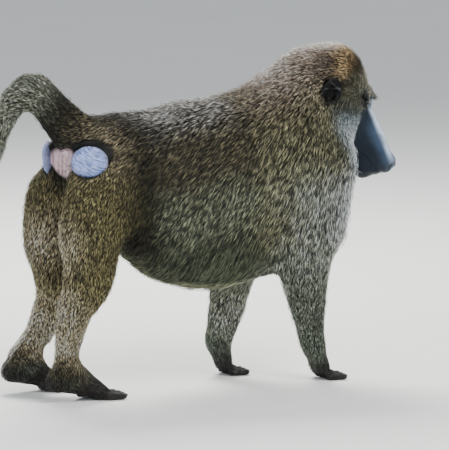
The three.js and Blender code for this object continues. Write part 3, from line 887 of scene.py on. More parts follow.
    def _lay_limbs(self) -> None:
        """Lays the coat of the arms and legs, down to the digits."""
        for node, share, lie, coat, tone, reach in (
            ("upper_arm_{}", (0.62, 0.00, 0.75), (-0.25, 0, -0.97), Coat.MANE, Tone.ARM, 45),
            ("upper_arm_{}", (0.50, 0.10, 0.30), (-0.20, 0, -0.98), Coat.ARM, Tone.ARM, 45),
            ("upper_arm_{}", (0.55, 0.95, 0.35), (-0.20, 0, -0.98), Coat.ARM, Tone.MANE_LOW, 45),
            ("forearm_{}", (0.50, 0.15, 0.70), (-0.12, 0, -0.99), Coat.FOREARM, Tone.ARM, 40),
            ("forearm_{}", (0.50, 0.15, 0.35), (-0.10, 0, -0.99), Coat.FOREARM, Tone.FOREARM, 40),
            ("forearm_{}", (0.50, 0.95, 0.50), (-0.10, 0, -0.99), Coat.FOREARM, Tone.MANE_LOW, 36),
            ("forearm_{}", (0.55, 0.50, 0.03), (0.10, 0, -0.99), Coat.SHANK, Tone.FOREARM, 25),
            ("hand_{}", (0.25, 0.50, 0.85), (0.45, 0, -0.90), Coat.PAW, Tone.FOREARM, 16),
            ("hand_{}", (0.45, 0.45, 0.50), (0.85, 0, -0.50), Coat.PAW, Tone.PAW, 18),
            ("hand_{}", (0.85, 0.45, 0.20), (0.99, 0, -0.10), Coat.DIGIT, Tone.PAW, 16),
            ("thigh_{}", (0.55, 0.00, 0.80), (-0.35, 0, -0.94), Coat.THIGH, Tone.THIGH, 50),
            ("thigh_{}", (0.45, 0.05, 0.40), (-0.32, 0, -0.95), Coat.THIGH, Tone.THIGH, 50),
            ("thigh_{}", (0.02, 0.40, 0.70), (-0.20, 0, -0.98), Coat.THIGH, Tone.HAUNCH, 45),
            ("thigh_{}", (0.10, 0.40, 0.25), (-0.20, 0, -0.98), Coat.THIGH, Tone.HAUNCH, 45),
            # painted rim light along the rear edges of the thighs and shanks
            ("thigh_{}", (-0.06, 0.40, 0.48), (-0.35, 0, -0.93), Coat.THIGH, Tone.HAUNCH_EDGE, 34),
            ("thigh_{}", (0.04, 0.85, 0.45), (-0.35, 0, -0.93), Coat.THIGH, Tone.HAUNCH_EDGE, 34),
            ("shank_{}", (0.10, 0.60, 0.75), (-0.30, 0, -0.95), Coat.SHANK, Tone.HAUNCH_EDGE, 30),
            ("thigh_{}", (0.60, 0.95, 0.40), (-0.30, 0, -0.95), Coat.THIGH, Tone.LOIN, 45),
            ("shank_{}", (0.70, 0.10, 0.75), (-0.30, 0, -0.95), Coat.SHANK, Tone.THIGH, 40),
            ("shank_{}", (0.35, 0.50, 0.45), (-0.25, 0, -0.97), Coat.SHANK, Tone.SHANK, 40),
            ("shank_{}", (0.20, 0.50, 0.03), (0.10, 0, -0.99), Coat.SHANK, Tone.LOIN, 22),
            ("foot_{}", (0.05, 0.45, 0.45), (-0.20, 0, -0.95), Coat.PAW, Tone.PAW, 18),
            ("foot_{}", (0.30, 0.45, 0.80), (0.60, 0, -0.80), Coat.PAW, Tone.FOREARM, 16),
            ("foot_{}", (0.50, 0.45, 0.45), (0.92, 0, -0.38), Coat.PAW, Tone.PAW, 20),
            ("foot_{}", (0.88, 0.45, 0.18), (0.99, 0, -0.10), Coat.DIGIT, Tone.PAW, 16),
        ):
            self._lay(node, share, lie, coat, tone, reach)

    def _lay_tail(self) -> None:
        """Lays the coat of the tail, always towards its tip."""
        for node, share, lie, coat, tone in (
            ("tail_base", (0.80, 0.5, 0.25), (-0.93, 0, 0.35), Coat.RUMP, Tone.TAIL_ROOT),
            ("tail_base", (0.45, 0.5, 0.52), (-0.74, 0, 0.67), Coat.TAIL_ROOT, Tone.TAIL_ROOT),
            ("tail_base", (0.05, 0.5, 0.80), (-0.72, 0, 0.68), Coat.TAIL_ROOT, Tone.TAIL),
            ("tail_bend", (0.55, 0.5, 0.78), (-1.00, 0, 0.05), Coat.TAIL, Tone.TAIL),
            ("tail_bend", (0.15, 0.5, 0.35), (-0.45, 0, -0.90), Coat.TAIL, Tone.TAIL),
            ("tail_drop", (0.70, 0.5, 0.75), (-0.38, 0, -0.93), Coat.TAIL, Tone.TAIL),
            ("tail_drop", (0.30, 0.5, 0.20), (-0.22, 0, -0.97), Coat.TAIL, Tone.TAIL),
            ("tail_tip", (0.60, 0.5, 0.60), (-0.20, 0, -0.98), Coat.TAIL_TIP, Tone.TAIL),
            ("tail_tip", (0.20, 0.5, 0.10), (-0.14, 0, -0.99), Coat.TAIL_TIP, Tone.TAIL_ROOT),
        ):
            self._lay(node, share, lie, coat, tone, 38)


@dataclass
class Lay:
    """The coat's lie, cut and colours at each point of the skin."""

    lie: np.ndarray
    length: np.ndarray
    depth: np.ndarray
    width: np.ndarray
    density: np.ndarray
    gather: np.ndarray
    ticking: np.ndarray
    loose: np.ndarray
    tone: np.ndarray
    skin: np.ndarray

    @classmethod
    def over(cls, plan: Plan, points: np.ndarray) -> "Lay":
        """Blends the plan's stations over points of the body.

        Args:
            plan: the body's plan.
            points: places on its surface, in metres.

        Returns:
            The lay at each of them.
        """
        table = np.array([[*s.lie, *astuple(s.coat.value), *s.tone.value] for s in plan.stations])
        total = np.zeros((len(points), table.shape[1]))
        weights = np.zeros(len(points))
        for station, row in zip(plan.stations, table):
            near = ((points - np.array(station.at)) ** 2).sum(1) / station.reach**2
            weight = np.exp(-0.5 * near) + 1e-5 / (1.0 + near)
            total += weight[:, None] * row
            weights += weight
        total /= weights[:, None]
        hide = np.tile(np.array(Tone.HIDE.value), (len(points), 1))
        return cls(unit(total[:, :3]), *total[:, 3:10].T, total[:, 10:13], hide)

    def bare(self, mask: np.ndarray, tone: Tone, thin: float = 0.0, keep: float = 1.0) -> None:
        """Thins the coat over part of the skin and colours what shows.

        Args:
            mask: where, from 0 to 1.
            tone: the colour of the bare skin.
            thin: the share of the tufts that stays.
            keep: the share of the coat's depth that the skin still makes room for.
        """
        self.density *= 1 - mask * (1 - thin)
        self.depth *= 1 - mask * (1 - keep)
        self.length *= 1 - mask * (1 - max(keep, 0.25))
        self.stain(mask, tone)

    def stain(self, share: np.ndarray, tone: Tone) -> None:
        """Brings the skin's colour nearer to a tone, by a share from 0 to 1."""
        self.skin += (np.array(tone.value) - self.skin) * share[:, None]

    def stacked(self) -> np.ndarray:
        """Every value side by side, for blending between points."""
        columns = (self.length, self.depth, self.width, self.density, self.gather, self.ticking, self.loose)
        return np.concatenate([self.lie, np.stack(columns, axis=1), self.tone], axis=1)


# ---------------------------------------------------------------- the skin


@dataclass
class Ear:
    """A bare, dished ear: a rolled rim, a deep bowl and two folds above it. Sizes in millimetres."""

    plan: Plan
    side: Side
    half_wide: float = 25.0
    half_tall: float = 33.0
    rim: float = 2.6
    bowl: float = 11.0
    root: float = 26.0

    def build(self) -> bpy.types.Object:
        """Models the ear in its own frame, paints highlights on the lower rim and the folds, and puts it in
        place.
        """
        unpick()
        bpy.ops.mesh.primitive_uv_sphere_add(segments=72, ring_count=56, radius=1.0)
        ear = bpy.context.active_object
        form = Form(ear)
        x, y, z = form.points.T * np.array([[self.half_wide], [1.0], [self.half_tall]])
        out = y > -1e-6
        around = np.sqrt((x / self.half_wide) ** 2 + (z / self.half_tall) ** 2)
        edge = np.sqrt(np.clip(1 - around**2, 0, 1))
        dish = 1 - step_up(np.sqrt(((x - 0.5) / 15.5) ** 2 + ((z + 4.0) / 21.0) ** 2), 0.45, 1.15)
        uneven = 0.72 + 0.28 * np.sin(np.arctan2(z, x) * 2.0 + 0.6)
        roll = mound(around, 0.88, 0.11) * uneven
        fold = mound(z - 0.45 * x, 8.0, 2.2) * step_up(around, 0.05, 0.4) * (1 - step_up(around, 0.72, 0.95))
        fold += 0.8 * mound(z + 0.25 * x, 16.0, 2.0) * (1 - step_up(around, 0.8, 0.95))
        fold += 0.5 * mound(x + 0.3 * z, -8.0, 1.8) * mound(z, -2.0, 12.0)
        tragus = 6.0 * np.exp(-(((x - 14) / 4.0) ** 2 + ((z + 9) / 6.0) ** 2))
        face = 3.0 * edge - self.bowl * dish + self.rim * roll + 2.4 * fold + tragus
        back = -3.6 * edge - self.root * edge * step_up(x, -8.0, 9.0)
        form.points[:, 0] = (x * (1 - 0.10 * z / self.half_tall) - 1.5 * (z / self.half_tall) ** 2) * MM
        form.points[:, 1] = np.where(out, face, back) * self.side.value * MM
        form.points[:, 2] = z * MM
        form.write()
        if self.side is Side.RIGHT:
            ear.data.flip_normals()
        # painted highlights: the lower rim and the folds lighter than the dark ear, where the light catches
        # them
        pale = np.clip(roll * 0.3 * step_up(-z, -4.0, 16.0) + 0.9 * fold**2, 0, 1) * out
        dark, rim = np.array(Tone.CONCHA.value), np.array(Tone.EAR_RIM.value)
        hold(ear.data, "tint", dark + (rim - dark) * pale[:, None])
        ear.data.transform(self.plan.ear(self.side))
        return ear


@dataclass
class Lids:
    """Two eyelids: a rim of hide over the ball, open in an almond. Sizes in millimetres and degrees."""

    plan: Plan
    side: Side
    radius: float = 12.3
    half_wide: float = 43.0
    upper: float = 17.0
    lower: float = 15.0
    thick: float = 1.7

    def build(self) -> bpy.types.Object:
        """Models the lids as a grid rolled about the gaze, and puts them in place."""
        unpick()
        around, rows = 84, 12
        bpy.ops.mesh.primitive_grid_add(x_subdivisions=around, y_subdivisions=rows, size=2.0)
        lids = bpy.context.active_object
        form = Form(lids)
        turn = form.points[:, 0] * math.pi
        out = (form.points[:, 1] + 1) / 2
        high = np.where(np.sin(turn) > 0, self.upper, self.lower)
        slit = 1 / np.sqrt((np.cos(turn) / self.half_wide) ** 2 + (np.sin(turn) / high) ** 2)
        corner = 1 - 0.25 * mound(np.abs(np.cos(turn)), 1.0, 0.12)
        tilt = np.radians(slit / corner * 0.92 + out * (86 - slit))
        swell = self.radius + 1.3 * mound(out, 0.16, 0.16) + 1.6 * out
        gaze = np.stack([np.cos(tilt), np.sin(tilt) * np.cos(turn), np.sin(tilt) * np.sin(turn)], axis=1)
        form.points = gaze * swell[:, None] * MM
        form.write()
        edited(lids, merged(0.02), partial(bpy.ops.mesh.normals_make_consistent, inside=False))
        lids.data.transform(self.plan.eye(self.side))
        apply_modifier(lids, "SOLIDIFY", thickness=self.thick * MM, offset=1.0)
        # the lids carry the face's dark skin, with its painted shade under the brow
        hold(lids.data, "tint", np.tile(np.array(Tone.FACE.value), (len(lids.data.vertices), 1)))
        return lids


@dataclass(frozen=True)
class Lens:
    """A place that is cast finer: space is magnified about it while the cast is made. Sizes in millimetres."""

    centre: Vector
    reach: float
    power: float
    rim: float

    def _moved(self, points: np.ndarray, start: list[float], end: list[float]) -> np.ndarray:
        """Points whose distance from the centre is carried from one scale to the other."""
        away = points - np.array(self.centre)
        far = np.linalg.norm(away, axis=1, keepdims=True) / MM
        moved = np.interp(far, [*start, 1e6], [*end, 1e6])
        return np.array(self.centre) + away * moved / np.maximum(far, 1e-9)

    def enlarge(self, points: np.ndarray) -> np.ndarray:
        """Where points stand under the lens."""
        return self._moved(points, [0, self.reach, self.rim], [0, self.reach * self.power, self.rim])

    def restore(self, points: np.ndarray) -> np.ndarray:
        """Where points under the lens really are."""
        return self._moved(points, [0, self.reach * self.power, self.rim], [0, self.reach, self.rim])


@dataclass
class Skin:
    """The one skin under the coat, bare on face, ears, hands, feet and seat. Sizes in millimetres."""

    plan: Plan
    grain: float = 5.8
    swell: float = 0.6
    pad_bed: float = 2.0
    fold_width: float = 12.0
    paired: tuple[str, ...] = ("upper_arm", "forearm", "hand", "thigh", "shank", "foot")
    tail: tuple[str, ...] = ("tail_base", "tail_bend", "tail_drop", "tail_tip")
    single: tuple[str, ...] = ("trunk", "neck", "head", "muzzle", "jaw", *tail)

    def flesh(self) -> list[str]:
        """The solids that the skin is cast from."""
        return [*self.single, *(f"{part}_{side.word}" for part in self.paired for side in Side)]

    def build(self) -> bpy.types.Object:
        """Casts, sinks, smooths and carves the skin; the lids and ears are joined on later, by finish."""
        self.obj = self._cast()
        form = Form(self.obj)
        self.part = self._parts(form.points)
        self.outside = BVHTree.FromPolygons(form.points.tolist(), form.triangles().tolist())
        self.lay = Lay.over(self.plan, form.points)
        self._mark(form)
        self._sink(form)
        self.room = nearest(self.outside, form.points)[3] / MM
        self._carve(form)
        form.write()
        self.form = form
        hold(self.obj.data, "tint", self.lay.skin)
        smooth(self.obj)
        LOG.info("skin before ears and lids: %d points", form.count)
        return self.obj

    def finish(self) -> bpy.types.Object:
        """Joins the lids and ears on, once the coat has been rooted, and dresses the skin."""
        extras = [make(self.plan, side).build() for make in (Ear, Lids) for side in Side]
        for extra in extras:
            smooth(extra)
        skin = joined([self.obj, *extras], "skin")
        ears = [f"ear_{side.word}" for side in Side]
        return present(skin, "skin", SkinFinish().dress(), *self.flesh(), *ears)

    def _lenses(self) -> list[Lens]:
        """The places cast finer: the face, then each hand and foot."""
        face = self.plan.muzzle @ Vector((75 * MM, 0, -45 * MM))
        paws = [f"{paw}_{side.word}" for paw in ("hand", "foot") for side in Side]
        digits = [Lens(spot(paw, (0.62, 0.5, 0.1)), reach=54, power=2.1, rim=170) for paw in paws]
        return [Lens(face, reach=98, power=2.7, rim=430), *digits]

    def _cast(self) -> bpy.types.Object:
        """Casts all the flesh as one closed surface."""
        divide = partial(bpy.ops.mesh.subdivide, number_cuts=3)
        copies = [edited(copy_of(node), fattened(self.swell), divide) for node in self.flesh()]
        copies += [edited(copy_of(f"seat_pad_{side.word}"), fattened(-self.pad_bed)) for side in Side]
        cast = joined(copies, "skin")
        lenses = self._lenses()
        form = Form(cast)
        for lens in lenses:
            form.points = lens.enlarge(form.points)
        form.write()
        apply_modifier(cast, "REMESH", mode="VOXEL", voxel_size=self.grain * MM, adaptivity=0.0)
        form = Form(cast)
        for lens in reversed(lenses):
            form.points = lens.restore(form.points)
        form.write()
        return cast

    def _parts(self, points: np.ndarray) -> np.ndarray:
        """The number of the solid nearest to each point."""
        corners, faces, owner = [], [], []
        for number, node in enumerate(self.flesh()):
            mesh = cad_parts[node].data
            start = len(corners)
            corners += [v.co.copy() for v in mesh.vertices]
            faces += [[start + v for v in p.vertices] for p in mesh.polygons]
            owner += [number] * len(mesh.polygons)
        solids = BVHTree.FromPolygons(corners, faces)
        return np.array(owner)[nearest(solids, points)[2]]

    def _mark(self, form: Form) -> None:
        """Marks the bare places: face, eyes, palms, soles, seat and the skin between the pads, with painted
        light on the muzzle and painted shade in the nostrils.
        """
        lay, points = self.lay, form.points
        face = within(self.plan.muzzle, points)
        head = within(self.plan.head, points)
        s, y, z = face.T
        side = np.abs(y)
        cheek_line = 0.84 * s + z + 0.12 * side
        brow_line = head[:, 2] + 20 * step_up(np.abs(head[:, 1]), 32, 44)
        on_head = np.isin(self.part, [self.flesh().index(part) for part in ("head", "muzzle", "jaw")])
        mask = step_up(cheek_line, -34, -23) * step_up(head[:, 0], 20, 45)
        mask *= (1 - step_up(brow_line, -14, -4)) * on_head
        mask *= np.maximum(step_up(s, 12, 24), step_up(z, -58, -44))
        mask *= 1 - step_up(side, 44, 52)
        lay.bare(mask, Tone.MUZZLE, 0.0, 0.03)
        # painted highlight: a pale blue-white streak along the muzzle's ridges, where the light catches them
        ridge_highlight = mask * step_up(z + 0.10 * s, -14, 4) ** 1.5 * step_up(s, -30, 10)
        ridge_highlight *= 1 - 0.6 * step_up(s, 112, 134)
        ridge_highlight *= 0.10 + 0.90 * mound(side, 24, 9)
        # painted light: the upper side of the muzzle tinted lighter and bluer, as if lit from above
        upper_light = mask * step_up(z, -46, -14) * step_up(s, 0, 60)
        slit = np.hypot((s - 141 + 0.16 * z) / 5.0, (z + 19) / 13.0)
        lay.stain(upper_light, Tone.SLATE)
        lay.stain(0.9 * ridge_highlight, Tone.SHEEN)
        # painted shade: the nostril slits darkened to black, as shade inside their hollows
        lay.stain(mask * np.exp(-(slit**2)) * (side > 3), Tone.BLACK)
        for which in Side:
            eye = np.linalg.norm(within(self.plan.eye(which), points), axis=1)
            # dark skin round each eye, darkened further as painted shade under the brow
            lay.bare(1 - step_up(eye, 13, 18), Tone.FACE, 0.0, 0.1)
        low = 1 - step_up(points[:, 2], 3 * MM, 10 * MM)
        lay.bare(low, Tone.PAW, 0.0, 0.1)
        paws = 1 - step_up(points[:, 2], 40 * MM, 85 * MM)
        lay.stain(paws, Tone.PAW)
        self._mark_seat(points)

    def _mark_seat(self, points: np.ndarray) -> None:
        """Clears the coat about the seat pads, paints a black shadow in the recess above each, and colours the
        bare skin between them, with painted shade in its folds.
        """
        middles = [centre_of(f"seat_pad_{side.word}") for side in Side]
        pad_off = np.full(len(points), 1.0)
        self.crevice = np.zeros(len(points))
        for side, middle in zip(Side, middles):
            close = np.linalg.norm(points - np.array(middle), axis=1) < 0.09
            distance = nearest(tree_of(f"seat_pad_{side.word}"), points[close])[3]
            pad_off[close] = np.minimum(pad_off[close], distance)
            far, above = around_pad(side, points)
            # painted shadow: bare black skin above each pad, where the overhanging fur and tail shade the
            # recess
            ring = (1 - step_up(far, 1.32, 1.42)) * above
            self.lay.bare(ring, Tone.BLACK, 0.0, 0.1)
            self.crevice += ring * step_up(far, 0.9, 1.05)
        between = (middles[0] + middles[1]) / 2 + Vector((-20, 0, -8)) * MM
        away = np.linalg.norm((points - np.array(between)) / np.array([1.0, 1.15, 1.0]), axis=1)
        self.seat = 1 - step_up(away, 28 * MM, 42 * MM)
        self.lay.bare(self.seat, Tone.PINK, 0.05, 0.3)
        self.folds = np.cos(pad_off / MM * 2 * math.pi / self.fold_width) * self.seat
        # painted shade: the skin darker down in the folds' hollows
        self.lay.skin *= 1 - 0.5 * np.clip(-self.folds, 0, 1)[:, None] ** 2

    def _sink(self, form: Form) -> None:
        """Sinks the skin inside the solids by the coat's depth, and evens it out under the coat."""
        depth = self.lay.depth * 0.92
        thick = np.clip(depth / 8.0, 0.16, 1.0)[:, None]
        form.soften(thick, 14)
        for _ in range(4):
            form.push(-depth / 4 * MM)
            form.soften(thick, 4)
        form.soften(np.clip((depth - 4) / 10, 0, 1)[:, None], 16)

    def _carve(self, form: Form) -> None:
        """Carves the face and the seat, as one relief in millimetres."""
        s, y, z = within(self.plan.muzzle, form.points).T
        height = self._nose(s, y, z) + self._mouth(s, np.abs(y), z) + self._creases(s, np.abs(y), z)
        for side in Side:
            height -= self._wrinkles(within(self.plan.eye(side), form.points))
        height += 1.2 * self.folds - 5.0 * self.crevice
        form.push(height * MM)

    @staticmethod
    def _nose(s: np.ndarray, y: np.ndarray, z: np.ndarray) -> np.ndarray:
        """Two nostrils with wings and slits, the groove between them and the lip's step below.

        Args:
            s: how far along the muzzle.
            y: how far across it.
            z: how far above its axis.

        Returns:
            The relief.
        """
        side = np.abs(y)
        nostril = np.sqrt(((s - 146) / 5.0) ** 2 + ((side - 9.0) / 3.6) ** 2 + ((z + 27) / 4.2) ** 2)
        wing = np.sqrt(((s - 139) / 6.0) ** 2 + ((side - 14.0) / 2.6) ** 2 + ((z + 25) / 3.6) ** 2)
        slit = np.hypot((s - 141 + 0.16 * z) / 4.0, (z + 19) / 11.0)
        height = 1.2 * mound(nostril, 1.8, 0.45) * (s > 118)
        height -= 5.5 * np.exp(-(nostril**2)) + 2.6 * np.exp(-(wing**2))
        height -= 1.3 * mound(y, 0, 1.6) * step_up(s, 138, 146) * step_up(z, -50, -30)
        height -= 2.4 * np.exp(-(slit**2)) * step_up(side, 3, 7)
        return height - 2.6 * mound(z, -46, 5) * step_up(s, 136, 146)

    @staticmethod
    def _mouth(s: np.ndarray, side: np.ndarray, z: np.ndarray) -> np.ndarray:
        """The parted line of the lips, full above and below, and the chin; arguments as for the nose."""
        back = 30
        line = -92 + (s - back) * 0.34 + 6.0 * np.sin(np.clip((s - back) / 120, 0, 1) * math.pi)
        lips = 0.9 * mound(z - line, 4.5, 3.4) + 0.7 * mound(z - line, -4.5, 3.4)
        lips -= 1.4 * mound(z - line, 0, 1.1)
        chin = 4.5 * np.exp(-(((s - 136) / 18) ** 2 + ((z + 86) / 16) ** 2))
        return step_up(s, 40, 70) * step_up(side, 2, 6) * lips + chin

    @staticmethod
    def _creases(s: np.ndarray, side: np.ndarray, z: np.ndarray) -> np.ndarray:
        """The folds at the corner of the mouth and the long grooves of the muzzle's sides."""
        corner = step_up(s, 26, 40) * (1 - step_up(s, 62, 84)) * step_up(side, 14, 22) * mound(z + 66, 0, 17)
        flank = step_up(side, 12, 20) * step_up(s, 14, 34) * (1 - step_up(s, 84, 112)) * mound(z, -24, 16)
        folds, grooves = (s + 0.5 * z) / 7.5, (z + 0.10 * s) / 10.5
        return corner * 0.5 * np.cos(2 * math.pi * folds) + flank * 0.35 * np.cos(2 * math.pi * grooves)

    @staticmethod
    def _wrinkles(eye: np.ndarray) -> np.ndarray:
        """The depth of three wrinkles round the lower lid, at points in the eye's frame."""
        reach = np.linalg.norm(eye[:, 1:], axis=1)
        below = (1 - step_up(eye[:, 2], -8, 0)) * step_up(eye[:, 0], -6, 2)
        return 0.7 * below * sum(mound(reach, wrinkle, 0.9) for wrinkle in (17.5, 20.5, 23.5))


# ---------------------------------------------------------------- the coat


@dataclass(frozen=True)
class Wrap:
    """How a region of skin is unwrapped: round an axis and along it."""

    start: Vector
    end: Vector

    def along(self, points: np.ndarray) -> np.ndarray:
        """How far along the axis each point lies, as a share."""
        axis = np.array(self.end - self.start)
        return (points - np.array(self.start)) @ axis / (axis @ axis)

    def spread(self, points: np.ndarray) -> np.ndarray:
        """Where each point falls on the unwrapped skin, each way from 0 to 1."""
        axis = (self.end - self.start).normalized()
        side = axis.cross(Vector((0, 1, 0)) if abs(axis.y) < 0.8 else Vector((1, 0, 0))).normalized()
        up = axis.cross(side)
        away = points - np.array(self.start)
        turn = np.arctan2(away @ np.array(up), away @ np.array(side))
        flat = np.stack([turn, self.along(points)], axis=1)
        return (flat - flat.min(0)) / np.maximum(np.ptp(flat, axis=0), 1e-9)


@dataclass(frozen=True)
class Region:
    """One piece of the coat: which tufts it takes and how its skin unwraps."""

    name: str
    parts: tuple[str, ...]
    wrap: Wrap
    side: Side | None = None
    start: float = -math.inf
    end: float = math.inf

    def holds(self, roots: np.ndarray, owners: np.ndarray, names: list[str]) -> np.ndarray:
        """Which tufts belong to it.

        Args:
            roots: where the tufts are rooted.
            owners: the number of each tuft's solid.
            names: the solids, in the order of their numbers.

        Returns:
            The numbers of its tufts.
        """
        share = self.wrap.along(roots)
        held = np.isin(owners, [names.index(part) for part in self.parts])
        held &= (share >= self.start) & (share < self.end)
        if self.side:
            middle = ((self.wrap.start + self.wrap.end) / 2).y
            held &= (roots[:, 1] >= middle) == (self.side is Side.LEFT)
        return np.flatnonzero(held)


@dataclass
class Pelt:
    """The whole coat as tufts: thin closed blades, each bent to lie along the body. Sizes in millimetres."""

    plan: Plan
    skin: Skin
    tufts: int = 244_000
    seed: int = 7
    sunk: float = 1.6
    wander: float = 0.10
    patch: float = 0.003
    proud: float = 3.0
    least: float = 0.6
    bend: float = 0.42
    lock: int = 3
    rng: np.random.Generator = field(init=False)

    def build(self) -> list[bpy.types.Object]:
        """Roots, lays and models every tuft, and returns the coat's pieces."""
        self.rng = np.random.default_rng(self.seed)
        noise.seed_set(self.seed)  # otherwise noise_vector takes its offsets from the clock
        self._root()
        self._lay()
        self._clear()
        finish = CoatFinish().dress()
        names = self.skin.flesh()
        taken = [(region, region.holds(self.root, self.owner, names)) for region in self._regions()]
        return [self._model(region, members, finish) for region, members in taken]

    def _root(self) -> None:
        """Spreads the roots over the skin, closer where the hair is finer."""
        corners = self.skin.form.triangles()
        points, lay = self.skin.form.points, self.skin.lay
        self.ground = BVHTree.FromPolygons(points.tolist(), corners.tolist())
        self.room = self.skin.room[corners].mean(1)
        edge_a = points[corners[:, 1]] - points[corners[:, 0]]
        edge_b = points[corners[:, 2]] - points[corners[:, 0]]
        area = np.linalg.norm(np.cross(edge_a, edge_b), axis=1) / 2
        weight = area * lay.density[corners].mean(1)
        ladder = np.cumsum(weight)
        ticks = (np.arange(self.tufts) + self.rng.random(self.tufts)) / self.tufts * ladder[-1]
        chosen = corners[np.searchsorted(ladder, ticks)]
        r1, r2 = np.sqrt(self.rng.random(self.tufts)), self.rng.random(self.tufts)
        share = np.stack([1 - r1, r1 * (1 - r2), r1 * r2], axis=1)[:, :, None]
        self.chosen, self.share = chosen, share[:, :, 0]
        self.root = (points[chosen] * share).sum(1)
        self.up = unit((self.skin.form.normals()[chosen] * share).sum(1))
        values = (lay.stacked()[chosen] * share).sum(1)
        self.lie = values[:, :3]
        self.length, self.depth, self.width, _, self.gather, self.ticking, self.loose = values[:, 3:10].T
        self.tone = values[:, 10:13]
        self.owner = self.skin.part[chosen[:, 0]]
        self.shade = self.rng.random(self.tufts)

    def _lay(self) -> None:
        """Bends each tuft along its lie, gathers neighbours into locks and keeps tips at the coat's surface."""
        n, rng = self.tufts, self.rng
        leaders = rng.choice(n, n // self.lock, replace=False)
        tree = KDTree(len(leaders))
        for number, leader in enumerate(leaders.tolist()):
            tree.insert(self.root[leader], number)
        tree.balance()
        own = leaders[np.array([tree.find(p)[1] for p in self.root.tolist()])]
        drift = np.array([noise.noise_vector(Vector(p) * 22.0) for p in self.root.tolist()])
        flow = unit(self.lie) + drift * self.wander + rng.normal(0, 0.06, (n, 3))
        flow = flow * 0.35 + flow[own] * 0.65
        flow = unit(flow - self.up * (flow * self.up).sum(1)[:, None])
        room = (self.skin.room[self.chosen] * self.share).sum(1)
        length = np.maximum(self.length, room * 1.25) * rng.uniform(0.8, 1.2, n)
        share = rng.uniform(0.55, 1.0, n)
        share = share * 0.4 + share[own] * 0.6
        share = np.where(rng.random(n) < 0.04, rng.uniform(1.0, 1.35, n), share)
        rise = np.minimum(np.maximum(room, self.least) * share, length * 0.85)
        run = np.sqrt(np.maximum(length**2 - rise**2, 0))
        tip = self.root + (flow * run[:, None] + self.up * rise[:, None]) * MM
        self.shade = self.shade * 0.5 + self.shade[own] * 0.5
        pull = (self.gather * rng.uniform(0.5, 1.3, n))[:, None]
        tip += (tip[own] - tip) * pull
        mid = self.root + (tip - self.root) * self.bend
        lift = self.loose * rng.random(n) ** 1.5
        self.tip = self._trimmed(self._float(tip, share, lift), lift)
        self.mid = self._trimmed(self._float(mid, share * 0.98, lift * 0.3), lift * 0.3)
        self.across = unit(np.cross(unit(self.tip - self.root), self.up))

    def _float(self, points: np.ndarray, share: np.ndarray, lift: np.ndarray) -> np.ndarray:
        """Puts points at a share of the coat's own height over the skin below them, and a lift above that."""
        feet, facing, face, _ = nearest(self.ground, points)
        height = np.maximum(self.room[face], self.least) * share + lift
        out = points - feet
        turn = np.sign((out * facing).sum(1))[:, None]
        out = unit(out * turn + facing * 1e-4)
        return feet + out * height[:, None] * MM

    def _clear(self) -> None:
        """Takes out the tufts that cross an ear or a seat pad, or stray from their roots."""
        reach = np.linalg.norm(self.tip - self.root, axis=1)
        keep = reach < 1.7 * np.maximum(self.length, 12) * MM
        halfway = self.mid * 0.5 + self.tip * 0.5
        for side in Side:
            for points in (self.root * 0.25 + self.mid * 0.75, halfway, self.tip):
                x, y, z = within(self.plan.ear(side), points).T
                keep &= ~((np.hypot((x + 4.5) / 18.5, (z + 1.0) / 29.0) < 1.0) & (np.abs(y) < 45))
            for points in (self.mid, halfway, self.tip):
                far, above = around_pad(side, points)
                keep &= far > 0.84 + 0.34 * above
        for name in ("root", "mid", "tip", "across", "up", "width", "ticking", "tone", "owner", "shade"):
            setattr(self, name, getattr(self, name)[keep])

    def _trimmed(self, points: np.ndarray, lift: np.ndarray) -> np.ndarray:
        """Draws in points that stand farther out of the solids than their lift allows."""
        feet, facing, _, _ = nearest(self.skin.outside, points)
        out = points - feet
        proud = (out * facing).sum(1)
        far = np.linalg.norm(out, axis=1)
        most = np.maximum(lift, self.proud) * MM
        excess = np.where((proud > 0.5 * far) & (far > most), far - most, 0.0)
        return points - unit(out) * (excess * 0.85)[:, None]

    def _regions(self) -> list[Region]:
        """The coat's pieces."""
        trunk = Wrap(spot("trunk", (0.0, 0.5, 0.62)), spot("trunk", (1.0, 0.5, 0.62)))
        neck = Wrap(spot("neck", (0.0, 0.5, 0.5)), spot("neck", (1.0, 0.5, 0.5)))
        head = Wrap(spot("head", (0.5, 0.5, 0.0)), spot("head", (0.5, 0.5, 1.0)))
        tail = Wrap(spot("tail_base", (1.0, 0.5, 0.5)), spot("tail_drop", (0.5, 0.5, 0.5)))
        stretches = (("rear", -math.inf, 0.40), ("middle", 0.40, 0.68), ("front", 0.68, math.inf))
        made = []
        for side in Side:
            word = side.word
            for name, low, high in stretches:
                made.append(Region(f"coat_trunk_{name}_{word}", ("trunk",), trunk, side, low, high))
            made.append(Region(f"coat_neck_{word}", ("neck",), neck, side))
            made.append(Region(f"coat_crown_{word}", ("head",), head, side, 0.52))
            made.append(Region(f"coat_cheek_{word}", ("head", "muzzle", "jaw"), head, side, -math.inf, 0.52))
            for name, parts in (("arm", ("upper_arm", "forearm", "hand")), ("leg", ("thigh", "shank", "foot"))):
                lengths = tuple(f"{part}_{word}" for part in parts)
                limb = Wrap(centre_of(lengths[2]), spot(lengths[0], (0.5, 0.5, 1.0)))
                made.append(Region(f"coat_{name}_{word}", lengths, limb))
        made.append(Region("coat_tail", self.skin.tail, tail))
        return made

